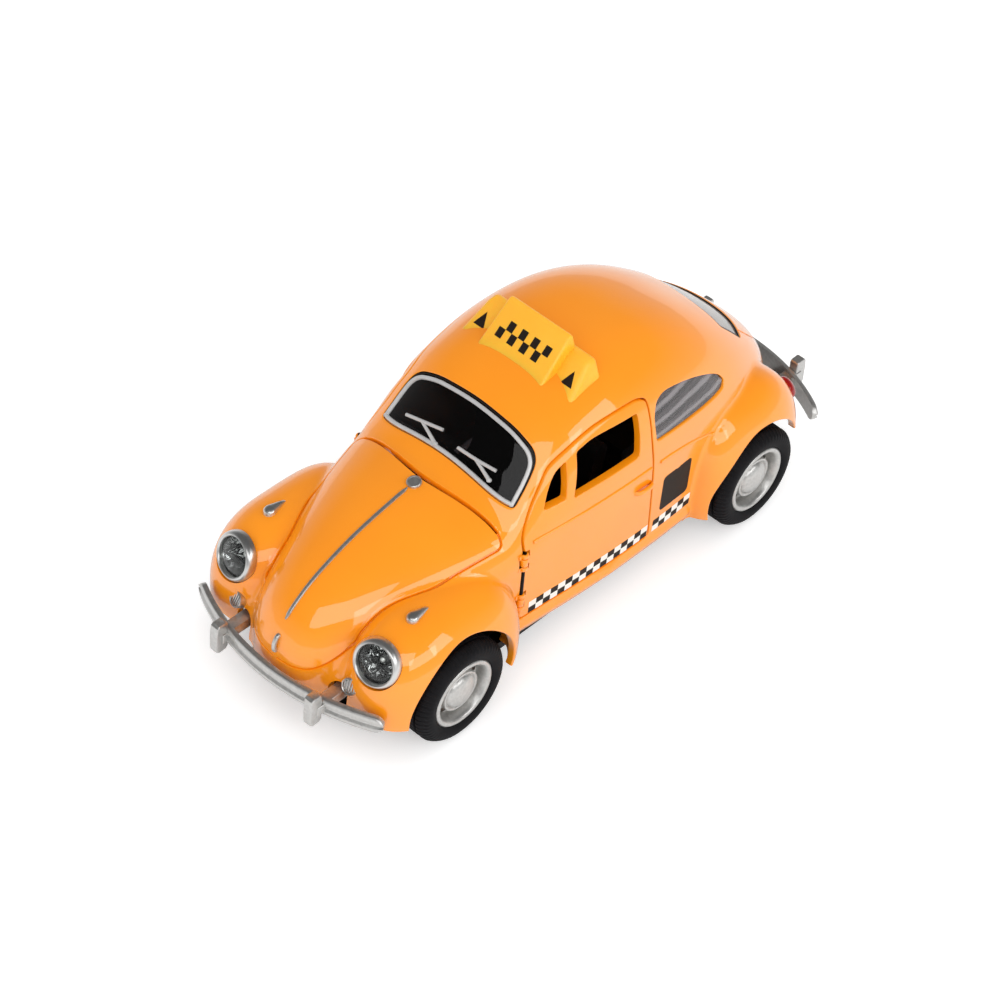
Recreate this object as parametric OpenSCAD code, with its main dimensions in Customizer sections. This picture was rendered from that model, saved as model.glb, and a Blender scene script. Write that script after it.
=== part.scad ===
// Toy taxi: a die-cast saloon with opening doors and a wind-back motor.
// Front faces -Y, the car's left side is +X, the floor is Z = 0, sizes in mm.

/* [Overall] */
// Length ahead of the front axle, over the bumper
front_over = 20.8; // [18:0.1:23]
// Cabin width at the waist
body_w = 37.4; // [35:0.1:40]
// Height of the roof above the floor
roof_z = 43.4; // [41:0.1:46]
// Distance between the two axles
wheelbase = 66.7; // [64:0.1:69]
// Length behind the rear axle, over the bumper
rear_over = 25.1; // [22:0.1:28]

/* [Casting] */
// Thickness of the cast body and doors
wall = 1.2; // [0.9:0.1:1.6]
// Gap round the doors
door_gap = 0.3; // [0.2:0.05:0.5]
// Wider gap at the hinge edge of the doors
hinge_gap = 1; // [0.8:0.05:1.4]
// Gap between the tyre and the wheel arch
arch_gap = 1.6; // [1.2:0.05:2]
// How far above the axles the wheel arches are centred
arch_up = 0.3; // [0:0.05:0.6]
// Width of the wings outside their crown line
wing_w = 9; // [8.5:0.1:9.6]
// Height of the front wing's crown above its middle
front_wing_h = 12.9; // [12:0.1:14]
// Height of the rear wing's crown above its middle
rear_wing_h = 14.4; // [13:0.1:15]
// Width of the groove behind the bonnet
cowl_groove = 1; // [0.6:0.1:1.4]
// Width of the fine panel grooves
panel_groove = 0.4; // [0.3:0.05:0.6]
// Depth of all panel grooves
groove_depth = 0.5; // [0.3:0.05:0.8]
// Radius of the two posts that the base is screwed to
post_r = 2.3; // [2:0.1:2.8]

/* [Doors] */
// Radius of the hinge knuckles
knuckle_r = 0.8; // [0.7:0.05:0.95]
// Height of one door knuckle
knuckle_h = 1.5; // [1.2:0.1:2]
// Radius of the hinge pins
pin_r = 0.35; // [0.3:0.05:0.4]
// Running clearance round the hinge pins
pin_clear = 0.05; // [0.02:0.01:0.08]
// Clearance between knuckles along the pin
knuckle_clear = 0.15; // [0.1:0.05:0.3]

/* [Windows] */
// Thickness of the clear insert
glass_t = 0.9; // [0.6:0.1:1.2]
// Clearance between the insert and the casting
glass_clear = 0.15; // [0.1:0.05:0.25]
// How far the panes sit below the body's outer face
pane_set = 0.35; // [0.2:0.05:0.6]
// Width of the bright rim round the windscreen
rim_w = 0.8; // [0.5:0.1:1.2]

/* [Wheels] */
// Outer radius of the tyres
tyre_r = 8.9; // [8.6:0.05:9.2]
// Width of the tyres
tyre_w = 6; // [5:0.1:6.4]
// Radius of the rims, where the tyres sit
rim_r = 5.9; // [5.5:0.1:6.3]
// Position of the outer face of the tyres
tyre_face_x = 22.1; // [21.6:0.1:22.5]
// Radius of the axles
axle_r = 1; // [0.8:0.05:1.2]
// Running clearance round the axles
axle_clear = 0.05; // [0.02:0.01:0.1]
// Holes in each hub
hub_holes = 10; // [6:1:14]

/* [Base] */
// Underside of the base plate
base_z = 4.4; // [4:0.1:5]
// Thickness of the base plate
base_t = 1.6; // [1.2:0.1:2]
// Screw radius
screw_r = 0.8; // [0.6:0.05:1]
// Screw head radius
screw_head_r = 1.7; // [1.4:0.1:2]

/* [Motor] */
// Gear module
gear_mod = 0.45; // [0.4:0.05:0.5]
// Teeth of the pinion on the rear axle
pinion_teeth = 12; // [12:1:14]
// Teeth of the middle gear
idler_teeth = 16; // [14:1:18]
// Teeth of the spring gear
spring_teeth = 22; // [20:1:24]
// Extra distance between gear centres
gear_play = 0.05; // [0.02:0.01:0.1]
// Wall of the motor case
case_wall = 0.9; // [0.7:0.1:1.2]
// Radius of the two fixed motor pins
arbor_r = 0.7; // [0.6:0.05:0.8]

/* [Fittings] */
// Height of the front bumper blade
bumper_h = 3.2; // [2.6:0.1:3.8]
// Thickness of the bumper blades
bumper_t = 1; // [0.8:0.1:1.4]
// Width of the roof sign
sign_w = 23; // [20:0.1:25]
// Depth of the roof sign below the roof line
sign_d = 10.9; // [9:0.1:12]
// Height of the middle of the roof sign
sign_h = 4.6; // [4:0.1:6]
// Outer radius of the headlamp rings
lamp_r = 3.95; // [3.6:0.05:4.2]

/* [Hidden] */
eps = 0.01;
fine = 48;
// the body was drawn at these sizes and follows the sizes above in proportion
drawn_width = 37.4;
drawn_roof = 43.4;
kx = body_w/drawn_width;
kz = roof_z/drawn_roof;
half_len = (front_over + wheelbase + rear_over)/2;
front_y = front_over - half_len;
rear_y = half_len - rear_over;
// the ends and axles, as drawn and as set, and where a drawn place along the car lies
drawn_marks = [-56.3, -35.5, 31.2, 56.3];
set_marks = [-half_len, front_y, rear_y, half_len];
function station(y) = lookup(y, [for (k = [0:3]) [drawn_marks[k], set_marks[k]]]);
base_top = base_z + base_t;
arch_r = tyre_r + arch_gap;
wing_x = 13.9*kx;
wing_z = 10.5;
paint = [1, 0.62, 0.1];
black = [0.06, 0.06, 0.07];
bright = [0.75, 0.75, 0.77];
clear = [0.8, 0.86, 0.9, 0.45];
smoke = [0.25, 0.25, 0.27];
ivory = [0.92, 0.9, 0.82];
red = [0.85, 0.2, 0.15];

// body sections, nose to tail: place, crown height, half width, waist height, roundness
drawn = [
  [-53.2, 13.6, 0.6, 12.6, 2], [-52.9, 15.8, 3.4, 12.6, 2], [-51.8, 18.4, 5.8, 12.6, 2.05],
  [-49.5, 21.2, 8, 12.9, 2.1], [-45, 24.3, 10.6, 13.6, 2.15], [-38, 27.2, 13.3, 15.4, 2.2],
  [-30, 29.2, 15.6, 18, 2.25], [-24, 30.2, 16.8, 20, 2.25], [-20.8, 31, 17.2, 21, 2.25],
  [-17, 34.9, 17.5, 22, 2.3], [-13, 38.8, 17.8, 22.8, 2.45], [-8, 41.6, 18.2, 23.2, 2.65],
  [0, 43.2, 18.6, 23.4, 2.8], [8, 43.4, 18.7, 23.4, 2.8], [16, 42.3, 18.5, 23, 2.65],
  [24, 39.2, 17.9, 21.8, 2.5], [32, 34.1, 16.6, 19.5, 2.4], [40, 27.6, 13.8, 16.5, 2.3],
  [46, 21.9, 9.6, 14, 2.25], [50, 16.8, 5.6, 12, 2.1], [51.8, 12.6, 2.8, 11, 2], [52.3, 10.4, 0.6, 9.8, 2]];
rows = [for (d = drawn) [station(d[0]), d[1]*kz, d[2]*kx, d[3]*kz, d[4]]];
function column(k) = [for (r = rows) [r[0], r[k]]];
top_of = column(1);
width_of = column(2);
waist_of = column(3);
round_of = column(4);
sill_tuck = 0.02;
tuck_span = 18;
// half width of the body at a place and height, and its height at a place and half width
function side_x(y, z, g = 0) = let (zt = lookup(y, top_of) - g, w = lookup(y, width_of) - g,
  zw = lookup(y, waist_of), e = lookup(y, round_of), t = min(max((z - zw)/(zt - zw), 0), 1),
  k = pow(max((zw - z)/tuck_span, 0), 1.5)) w*(1 - sill_tuck*k)*pow(1 - pow(t, e), 1/e);
function roof_at(x, y, g = 0) = let (zt = lookup(y, top_of) - g, w = lookup(y, width_of) - g,
  zw = lookup(y, waist_of), e = lookup(y, round_of))
  zw + (zt - zw)*pow(1 - pow(min(abs(x)/w, 1), e), 1/e);

arc_steps = 7;
// one side of a body section from the floor to the crown
function half_ring(r, g) = let (w = max(r[2] - g, 0.05), zt = max(r[1] - g, r[3] + 0.05), e = r[4])
  concat([[w*(1 - sill_tuck), 0], [w*(1 - sill_tuck/3), r[3]/2]],
    [for (k = [0:arc_steps]) let (a = 90*k/arc_steps)
      [w*pow(cos(a), 2/e), r[3] + (zt - r[3])*pow(sin(a), 2/e)]]);
function ring(r, g) = let (h = half_ring(r, g), n = len(h))
  concat(h, [for (k = [n - 2:-1:0]) [-h[k][0], h[k][1]]]);
module skin(rings) {
  n = len(rings[0]);
  m = len(rings);
  polyhedron([for (r = rings) each r],
    concat([[for (k = [n - 1:-1:0]) k]], [[for (k = [0:n - 1]) (m - 1)*n + k]],
      [for (i = [0:m - 2]) for (k = [0:n - 1]) let (q = (k + 1) % n)
        each [[i*n + k, (i + 1)*n + q, (i + 1)*n + k], [i*n + k, i*n + q, (i + 1)*n + q]]]));
}
// solid inside the body surface, set in by g
module inside(g) skin([for (r = rows) let (y = r[0]*(1 - g/half_len))
  [for (p = ring(r, g)) [p[0], y, p[1]]]]);

wing_steps = 8;
wing_ring = 14;
wing_round = 2.4;
blunt_round = 4.5;
front_mid = station(-37);
rear_mid = station(31);
inner_reach = 7.5;
wing_down = 11;
// reach of the wings ahead of and behind their middles
front_along = [front_mid - station(-49.9), station(-20.4) - front_mid];
rear_along = [rear_mid - station(18.6), station(44.8) - rear_mid];
// the apron between the front wings, below the nose of the bonnet
apron_w = 23*kx;
apron_z = 7.7;
apron_ahead = front_mid - station(-51.3);
apron_behind = station(-28) - front_mid;
apron_up = 12.6;
apron_round = 2.2;
function sgn_pow(v, p) = sign(v)*pow(abs(v), p);
// a swelling of the body: its middle, reach in and out, ahead and behind, down and up, and
// its roundness across, ahead and behind
module swelling(mid, across, along, rise, bends) {
  turns = [for (k = [0:wing_steps]) -89 + 178*k/wing_steps];
  skin([for (a = turns) let (s = pow(cos(a), 2/bends[0]),
    f = sgn_pow(sin(a), 2/bends[a < 0 ? 1 : 2]), y = mid[1] + f*along[a < 0 ? 0 : 1])
    [for (k = [0:wing_ring - 1]) let (b = 360*k/wing_ring, c = sgn_pow(cos(b), 2/bends[0]),
      d = sgn_pow(sin(b), 2/bends[0]))
      [mid[0] + s*c*across[c < 0 ? 0 : 1], y, mid[2] + s*d*rise[d < 0 ? 0 : 1]]]]);
}
// the four wings and the apron, set in by g
module wings(g) {
  both_sides() {
    swelling([wing_x, front_mid, wing_z], [inner_reach, wing_w - g], front_along - [g, g],
      [wing_down - g, front_wing_h - g], [wing_round, wing_round, blunt_round]);
    swelling([wing_x, rear_mid, wing_z], [inner_reach, wing_w - g], rear_along - [g, g],
      [wing_down - g, rear_wing_h - g], [wing_round, blunt_round, wing_round]);
  }
  swelling([0, front_mid, apron_z], [apron_w - g, apron_w - g], [apron_ahead - g, apron_behind],
    [apron_up - g, apron_up - g], [apron_round, apron_round, apron_round]);
}
sill_z = 7.8;
sill_r = 1.5;
sill_front = station(-22);
sill_rear = station(18);
module sills() for (m = [0, 1]) mirror([m, 0, 0])
  hull() for (s = [[sill_front, side_x(sill_front, sill_z) - 1], [0, side_x(0, sill_z) - 1],
    [sill_rear, side_x(sill_rear, sill_z) - 1]])
    translate([s[1], s[0], sill_z]) scale([1.1, 1, 1]) sphere(sill_r, $fn = 10);

// side outlines, place and height
function at(p) = [for (q = p) [station(q[0]), q[1]*kz]];
door_line = at([[-18.2, 9.5], [-18.8, 25], [-17.9, 27.6], [-14, 32.5], [-11.6, 34.8], [-7.5, 36.6],
  [-2.5, 37.7], [4.8, 37.9], [6.9, 37.3], [6.7, 31], [7.4, 25], [8.7, 9.5]]);
vent_line = at([[-14.9, 29.1], [-13.5, 31.6], [-11.6, 33.8], [-9.6, 34.9], [-11, 29.4]]);
main_line = at([[-9.6, 29], [-7.6, 35.6], [-4, 36.4], [4.6, 36.4], [4, 29.2]]);
quarter_line = at([[8, 29.7], [7.9, 34], [8.9, 36], [10.8, 36.5], [14, 36], [18, 34.8], [22.1, 33],
  [24.8, 31.3], [26, 29.7], [25.2, 28.9], [23.3, 28.9]]);
// end outlines, across and height
function across(p) = [for (q = p) [q[0]*kx, q[1]*kz]];
screen_line = across([[-13.6, 29.6], [-12.4, 36.4], [-7.3, 38.3], [0, 39], [7.3, 38.3], [12.4, 36.4],
  [13.6, 29.6], [6, 31.4], [0, 31.9], [-6, 31.4]]);
back_line = across([[-10, 27], [-9, 31.6], [-4.5, 33.2], [0, 33.6], [4.5, 33.2], [9, 31.6], [10, 27],
  [5, 26.3], [-5, 26.3]]);
corner_r = 0.8;
module soft(line, grow = 0) offset(r = corner_r) offset(delta = grow - corner_r) polygon(line);
side_from = 8;
side_past = 3.3;
side_depth = body_w/2 + side_past - side_from;
// a side outline run through one side of the car
module through_side(line, grow = 0) translate([side_from, 0, 0]) rotate([90, 0, 90])
  linear_extrude(side_depth) soft(line, grow);
module both_sides() for (m = [0, 1]) mirror([m, 0, 0]) children();
// an end outline run through the car between two places
module through_end(line, from, to, grow) translate([0, station(to), 0]) rotate([90, 0, 0])
  linear_extrude(station(to) - station(from)) soft(line, grow);
module through_front(line, grow = 0) through_end(line, -25, -7, grow);
module through_back(line, grow = 0) through_end(line, 24, 46, grow);
module windows(grow = 0) {
  through_front(screen_line, grow);
  through_back(back_line, grow);
  both_sides() through_side(quarter_line, grow);
}

// door hinge
hinge_y = station(-18.75) - hinge_gap/2;
hinge_x = side_x(hinge_y, 18*kz) - 0.1;
hinge_z = [13.5*kz, 22*kz];
hinge_tall = knuckle_h + 2*(2*knuckle_clear + 0.8);
pocket_r = knuckle_r + 0.25;
jamb_line = [[hinge_y - hinge_gap/2, 9.5*kz - door_gap], [hinge_y - hinge_gap/2 - 0.2, 25*kz],
  [hinge_y + 2.5, 27*kz], [hinge_y + 4, 9.5*kz - door_gap]];
// the knuckles of the body, a short one above and below each door knuckle, bored for the pin
web = 0.8;
module body_knuckles() both_sides() difference() {
  for (z = hinge_z) for (k = [-1, 1])
    translate([hinge_x, hinge_y, z + k*(knuckle_h/2 + knuckle_clear + web/2)]) {
      cylinder(r = knuckle_r, h = web, center = true, $fn = 14);
      translate([-0.4, -hinge_gap/2 - 0.5, 0]) cube([1.2, hinge_gap + 1, web], center = true);
    }
  translate([hinge_x, hinge_y, 0]) cylinder(r = pin_r, h = roof_z, $fn = 16);
}
post_front_y = station(-42);
post_rear_y = station(43);
// where the lamps and horn grilles of the left side sit
front_crown = wing_z + front_wing_h;
rear_crown = wing_z + rear_wing_h;
module lamp_place() translate([wing_x + 0.7, station(-46.6), front_crown - 5])
  rotate([70, 0, 9]) children();
module tail_place() translate([wing_x + 2.1, station(41.9), rear_crown - 7.6])
  rotate([-64, 0, -24]) children();
module horn_place() translate([wing_x - 2.1, station(-49), front_crown - 10.4])
  rotate([66, 0, 14]) children();
module blinker_place() translate([wing_x + 0.9, station(-39.4), front_crown - 0.9])
  rotate([-6, 4, 0]) children();
bracket_x = 9.9*kx;
bracket_front_z = 10.7;
bracket_rear_z = 9.3;
bracket_w = 2;
bracket_h = 1.8;
tail_r = 1.9;
horn_r = 1.4;
nest = 0.1;

// edge of the bonnet from above, across and place
bonnet_edge = [for (q = [[0, -23.8], [3.5, -23.5], [7, -22.9], [9.6, -22.4], [12, -22], [13.8, -21.8],
  [14.9, -22.1], [15.2, -22.8], [14.9, -24.4], [13.4, -31], [11.8, -37.6], [9.9, -43.8], [8.4, -48.3],
  [7.3, -50.2], [5.6, -51.9]]) [q[0]*kx, station(q[1])]];
lid_edge = [for (q = [[0, 36.2], [4, 36.4], [7, 37.2], [8, 39], [7.8, 43], [5.8, 47.4], [3.4, 49.8]])
  [q[0]*kx, station(q[1])]];
cowl_points = 6;
// upright thin walls along an edge line, taken away above the skin's lower layer
module edge_walls(line, from, to, w) both_sides() for (i = [from:to - 1]) hull()
  for (p = [line[i], line[i + 1]]) translate([p[0], p[1], 8]) cylinder(d = w, h = 40, $fn = 6);
module grooves() difference() {
  union() {
    edge_walls(bonnet_edge, 0, cowl_points, cowl_groove);
    edge_walls(bonnet_edge, cowl_points, len(bonnet_edge) - 1, panel_groove);
    edge_walls(lid_edge, 0, len(lid_edge) - 1, panel_groove);
  }
  inside(groove_depth);
}
foot_front = 8.2;
foot_front_wing = 7.2;
foot_rear_wing = 6;
foot_sill = 6.4;
foot_tail = 13;
far = 70;
// what is cut away below the body's lower edge, seen from the side
module below() rotate([90, 0, 90]) linear_extrude(2*far, center = true) polygon([[-far, -far],
  [-far, foot_front], [front_y, foot_front], [front_y, foot_front_wing], [sill_front, foot_front_wing],
  [sill_front, foot_sill], [sill_rear, foot_sill], [sill_rear, foot_rear_wing], [rear_y, foot_rear_wing],
  [rear_y, foot_tail], [far, foot_tail], [far, -far]]);
// arched way out for the bumper brackets, open below
notch_clear = 0.35;
notch_r = norm([bracket_w, bracket_h])/2 + notch_clear;
notch_d = 14;
module notch(y, z) both_sides() translate([bracket_x, y, z]) rotate([-90, 0, 0]) {
  cylinder(r = notch_r, h = notch_d, $fn = 16);
  translate([-notch_r, 0, 0]) cube([2*notch_r, z, notch_d]);
}
module posts() for (y = [post_front_y, post_rear_y]) translate([0, y, base_top])
  cylinder(r = post_r, h = roof_z, $fn = 16);
arch_in = 13.6;
arch_past = 2.7;
arch_deep = wing_x + wing_w + arch_past - arch_in;
lamp_deep = 4;
lamp_ledge = 0.5;
lamp_reach = 8;
blinker_sunk = 0.2;

// The cast body: cabin, bonnet and tail in one with the four wings and the sills
module body_shell() color(paint) {
  body_knuckles();
  cast_body();
}
module cast_body() difference() {
  union() {
    difference() {
      union() {
        inside(0);
        wings(0);
        sills();
      }
      inside(wall);
      wings(wall);
      below();
    }
    difference() {
      intersection() {
        posts();
        inside(wall/2);
      }
      for (y = [post_front_y, post_rear_y]) translate([0, y, base_top - eps])
        cylinder(r = screw_r, h = 6, $fn = 20);
    }
  }
  for (y = [front_y, rear_y]) both_sides() translate([arch_in, y, tyre_r + arch_up])
    rotate([0, 90, 0]) cylinder(r = arch_r, h = arch_deep, $fn = 36);
  windows();
  both_sides() {
    through_side(door_line, door_gap);
    through_side(jamb_line);
    for (z = hinge_z) translate([hinge_x, hinge_y, z - hinge_tall/2])
      cylinder(r = pocket_r, h = hinge_tall, $fn = 12);
    lamp_place() translate([0, 0, -lamp_deep]) cylinder(r = lamp_r - lamp_ledge, h = lamp_reach, $fn = 24);
    lamp_place() cylinder(r = lamp_r + nest, h = lamp_reach, $fn = 24);
    tail_place() cylinder(r = tail_r + nest, h = lamp_reach, $fn = 18);
    horn_place() cylinder(r = horn_r + nest, h = lamp_reach, $fn = 16);
    blinker_place() translate([0, 0, -blinker_sunk]) linear_extrude(lamp_reach) blinker_plan(nest);
  }
  grooves();
  notch(-half_len, bracket_front_z);
  notch(half_len - notch_d, bracket_rear_z);
}

// one door, left side: skin, window frame, waist bead, lever and bored knuckles
lever_z = 21.7*kz;
bead_z = 25*kz;
bead_r = 0.35;
bead_from = -17.4;
bead_to = 7;
beads = 5;
function bead_at(i) = let (y = station(bead_from + (bead_to - bead_from)*i/beads))
  [side_x(y, bead_z) - 0.15, y, bead_z];
lever = [[3.6, -0.3], [4.6, 0.5], [7, 0.5], [7.7, 0]];
module door() difference() {
  union() {
    difference() {
      intersection() {
        inside(0);
        through_side(door_line);
      }
      inside(wall);
    }
    for (i = [0:beads - 1]) hull() for (k = [i, i + 1]) translate(bead_at(k)) sphere(bead_r, $fn = 8);
    for (i = [0:2]) hull() for (k = [i, i + 1])
      translate([side_x(station(lever[k][0]), lever_z) + lever[k][1], station(lever[k][0]), lever_z])
        cube([0.8, 0.5, 1], center = true);
    for (z = hinge_z) translate([hinge_x, hinge_y, z]) {
      cylinder(r = knuckle_r, h = knuckle_h, center = true, $fn = 14);
      translate([-0.5, hinge_gap/2 + 0.1, 0]) cube([1, hinge_gap + 0.2, knuckle_h], center = true);
    }
  }
  through_side(vent_line);
  through_side(main_line);
  for (z = hinge_z) for (k = [-1, 1])
    translate([hinge_x, hinge_y, z + k*(knuckle_h/2 + (web + 2*knuckle_clear)/2)])
      cylinder(r = pocket_r, h = web + 2*knuckle_clear, center = true, $fn = 12);
  translate([hinge_x, hinge_y, 0]) cylinder(r = pin_r + pin_clear, h = roof_z, $fn = 32);
}
module door_left() color(paint) door();
module door_right() color(paint) mirror([1, 0, 0]) door();
pin_low = hinge_z[0] - hinge_tall/2;
module hinge_pin() translate([hinge_x, hinge_y, pin_low])
  cylinder(r = pin_r, h = hinge_z[1] - hinge_z[0] + hinge_tall, $fn = fine);
module hinge_pin_left() color(bright) hinge_pin();
module hinge_pin_right() color(bright) mirror([1, 0, 0]) hinge_pin();

// The clear insert: panes that stand in the openings on one thin shell under the roof
insert_out = wall + glass_clear;
insert_in = insert_out + glass_t;
insert_low = 28.2*kz;
wiper_r = 0.35;
function on_pane(p) = let (x = p[0]*kx, y = station(p[1])) [x, y, roof_at(x, y) - pane_set + wiper_r/2];
// one moulded wiper: a blade through three places on the pane, and an arm from its middle
module wiper(blade, foot) for (line = [[blade[0], blade[1]], [blade[1], blade[2]], [blade[1], foot]])
  hull() for (p = line) translate(on_pane(p)) sphere(wiper_r, $fn = 10);
module window_insert() color(clear) {
  difference() {
    intersection() {
      inside(insert_out);
      translate([-30, station(-21), insert_low]) cube([60, station(37) - station(-21), 30]);
    }
    inside(insert_in);
    // open space for the doors and their empty window frames
    both_sides() hull() for (p = [[-24, 20], [-24, 29], [-12.5, 36.4], [-4, 38.8], [6.6, 38.8], [7, 20]])
      translate([6, station(p[0]), p[1]*kz]) rotate([0, 90, 0]) cylinder(r = 0.7, h = 20, $fn = 12);
  }
  difference() {
    union() {
      intersection() {
        inside(pane_set);
        windows(-glass_clear);
      }
      // raised rim of the windscreen
      difference() {
        intersection() {
          inside(0.05);
          through_front(screen_line, -glass_clear);
        }
        through_front(screen_line, -glass_clear - rim_w);
      }
    }
    inside(insert_in);
    both_sides() through_side(door_line, door_gap);
  }
  wiper([[-9.3, -17.9], [-6.1, -17.9], [-2.1, -17.6]], [-2, -19.2]);
  wiper([[1.6, -18.2], [5, -18], [8.7, -17.4]], [8.5, -18.6]);
}

// The black inside: floor, front seats, rear bench over the motor and dashboard
tub_w = 14.4*kx;
tub_t = 0.9;
tub_front = station(-22.4);
// the rear floor steps up over the motor case
case_front = rear_y - 21.2;
case_gap = 1.4;
tub_hump = case_front - case_gap;
tub_back = station(37.2);
case_top = 18.4;
hump_z = case_top + 0.25;
seat_w = 9;
seat_r = 1.4;
seat_z = base_top + tub_t + seat_r - 0.1;
seat_front = station(-7.2);
seat_back = station(1);
seat_lean = 2.6;
bench_w = 22;
bench_d = 8.4;
bench_h = 3;
bench_r = 1.2;
bench_back = tub_hump + tub_t + bench_d - 0.3;
bench_lean = 3;
bench_rise = 7;
bench_z = hump_z + tub_t + 1.05;
dash_r = 0.8;
dash_w = 13.2*kx;
dash_line = [[-21.6, 24.6], [-18.6, 24], [-18.8, 21.4]];
dash_wall = 24.2*kz - base_top;
// a soft bar across the car through places and heights
module bar(line, r, w) hull() for (p = line) translate([0, p[0], p[1]]) rotate([0, 90, 0])
  cylinder(r = r, h = w, center = true, $fn = 24);
module seat(x) translate([x, 0, 0]) {
  bar([[seat_front, seat_z + 3.4], [seat_back, seat_z + 2.6], [seat_front, seat_z], [seat_back, seat_z]],
    seat_r, seat_w);
  bar([[seat_back, seat_z + 2.8], [seat_back + seat_lean, 25.6*kz]], seat_r, seat_w);
}
module interior_tub() color(black) {
  translate([-tub_w, tub_front, base_top]) cube([2*tub_w, tub_hump - tub_front, tub_t]);
  // front bulkhead and dashboard
  translate([-dash_w, tub_front, base_top]) cube([2*dash_w, tub_t, dash_wall]);
  bar(at(dash_line), dash_r, 2*dash_w);
  for (s = [-1, 1]) seat(s*7*kx);
  // rear floor over the motor
  translate([-tub_w, tub_hump - tub_t, base_top]) cube([2*tub_w, tub_t, hump_z + tub_t - base_top]);
  translate([-bench_w/2, tub_hump - tub_t, hump_z]) cube([bench_w, tub_back - tub_hump, tub_t]);
  // bench and its back
  translate([-bench_w/2, tub_hump + tub_t, hump_z]) cube([bench_w, bench_d, bench_h]);
  bar([[bench_back, bench_z], [bench_back + bench_lean, bench_z + bench_rise]], bench_r, bench_w);
}
wheel_at = [7*kx, station(-15.4), 22.8*kz];
column_len = wheel_at[1] - station(-17.84);
wheel_r = 3.6;
wheel_rim = 0.4;
spoke_w = 0.7;
spoke_t = 0.5;
column_r = 0.6;
module steering_wheel() color(black) translate(wheel_at) rotate([-75, 0, 0]) {
  rotate_extrude($fn = fine) translate([wheel_r, 0]) circle(wheel_rim, $fn = 20);
  for (a = [0, 120, 240]) rotate(a) translate([0, -spoke_w/2, -spoke_t/2])
    cube([wheel_r, spoke_w, spoke_t]);
  translate([0, 0, -column_len]) cylinder(r = column_r, h = column_len + wheel_rim, $fn = 24);
}

// The black base: plate, bearings, screw seats, bumper lugs and tail pipes
plate_line = [[9*kx, station(-49)], [12.4, station(-44)], [12.8, front_y + 11], [16.4*kx, front_y + 13],
  [16.4*kx, rear_y - 13], [12.8, rear_y - 11], [12.4, rear_y + 11], [8*kx, station(48.5)]];
bearing_x = 10.6;
bearing_w = 3;
bearing_d = 4.4;
bearing_top = 11.4;
case_back = rear_y + 4.9;
case_x0 = -6.4;
case_x1 = 6.4;
case_fit = 0.2;
lug_front_y = station(-47);
lug_rear_y = station(44);
lug_d = 3;
lug_w = 2.8;
lug_over = 1.4;
pipe_x = 5.4*kx;
pipe_r = 1.1;
pipe_bore = 0.7;
pipe_end = station(53.4);
pipe_start = station(42);
pipe_deep = 4;
screw_fit = 0.1;
head_sunk = 0.7;
module lug(y, z) both_sides() translate([bracket_x - lug_w/2, y, base_z])
  cube([lug_w, lug_d, z + lug_over - base_z]);
module pipe(r, y, len) both_sides() translate([pipe_x, y, base_top]) rotate([-90, 0, 0])
  cylinder(r = r, h = len, $fn = fine);
module chassis() color(black) difference() {
  union() {
    translate([0, 0, base_z]) linear_extrude(base_t) for (m = [0, 1]) mirror([m, 0])
      polygon(concat([[0, plate_line[0][1]]], plate_line, [[0, plate_line[len(plate_line) - 1][1]]]));
    for (y = [front_y, rear_y]) both_sides() translate([bearing_x - bearing_w/2, y - bearing_d/2, base_z])
      cube([bearing_w, bearing_d, bearing_top - base_z]);
    lug(lug_front_y, bracket_front_z);
    lug(lug_rear_y - lug_d, bracket_rear_z);
    pipe(pipe_r, pipe_start, pipe_end - pipe_start);
  }
  for (y = [front_y, rear_y]) translate([-axle_half, y, tyre_r]) rotate([0, 90, 0])
    cylinder(r = axle_r + axle_clear, h = 2*axle_half, $fn = fine);
  translate([case_x0 - case_fit, case_front - case_fit, 0])
    cube([case_x1 - case_x0 + 2*case_fit, case_back - case_front + 2*case_fit, base_top + eps]);
  for (y = [post_front_y, post_rear_y]) translate([0, y, 0]) {
    cylinder(r = screw_r + screw_fit, h = base_top + 1, $fn = fine);
    cylinder(r = screw_head_r + screw_fit, h = base_z + head_sunk, $fn = fine);
  }
  pipe(pipe_bore, pipe_end - pipe_deep, pipe_deep + 1);
}
head_t = 0.6;
slot_w = 0.4;
slot_d = 0.25;
screw_len = 6;
module screw(y) color(bright) translate([0, y, base_z + head_sunk - head_t]) {
  difference() {
    cylinder(r = screw_head_r, h = head_t, $fn = fine);
    for (a = [0, 90]) rotate(a) cube([2*screw_head_r - 1.2, slot_w, 2*slot_d], center = true);
  }
  cylinder(r = screw_r - 0.02, h = screw_len, $fn = fine);
}
module screw_front() screw(post_front_y);
module screw_rear() screw(post_rear_y);

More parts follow.
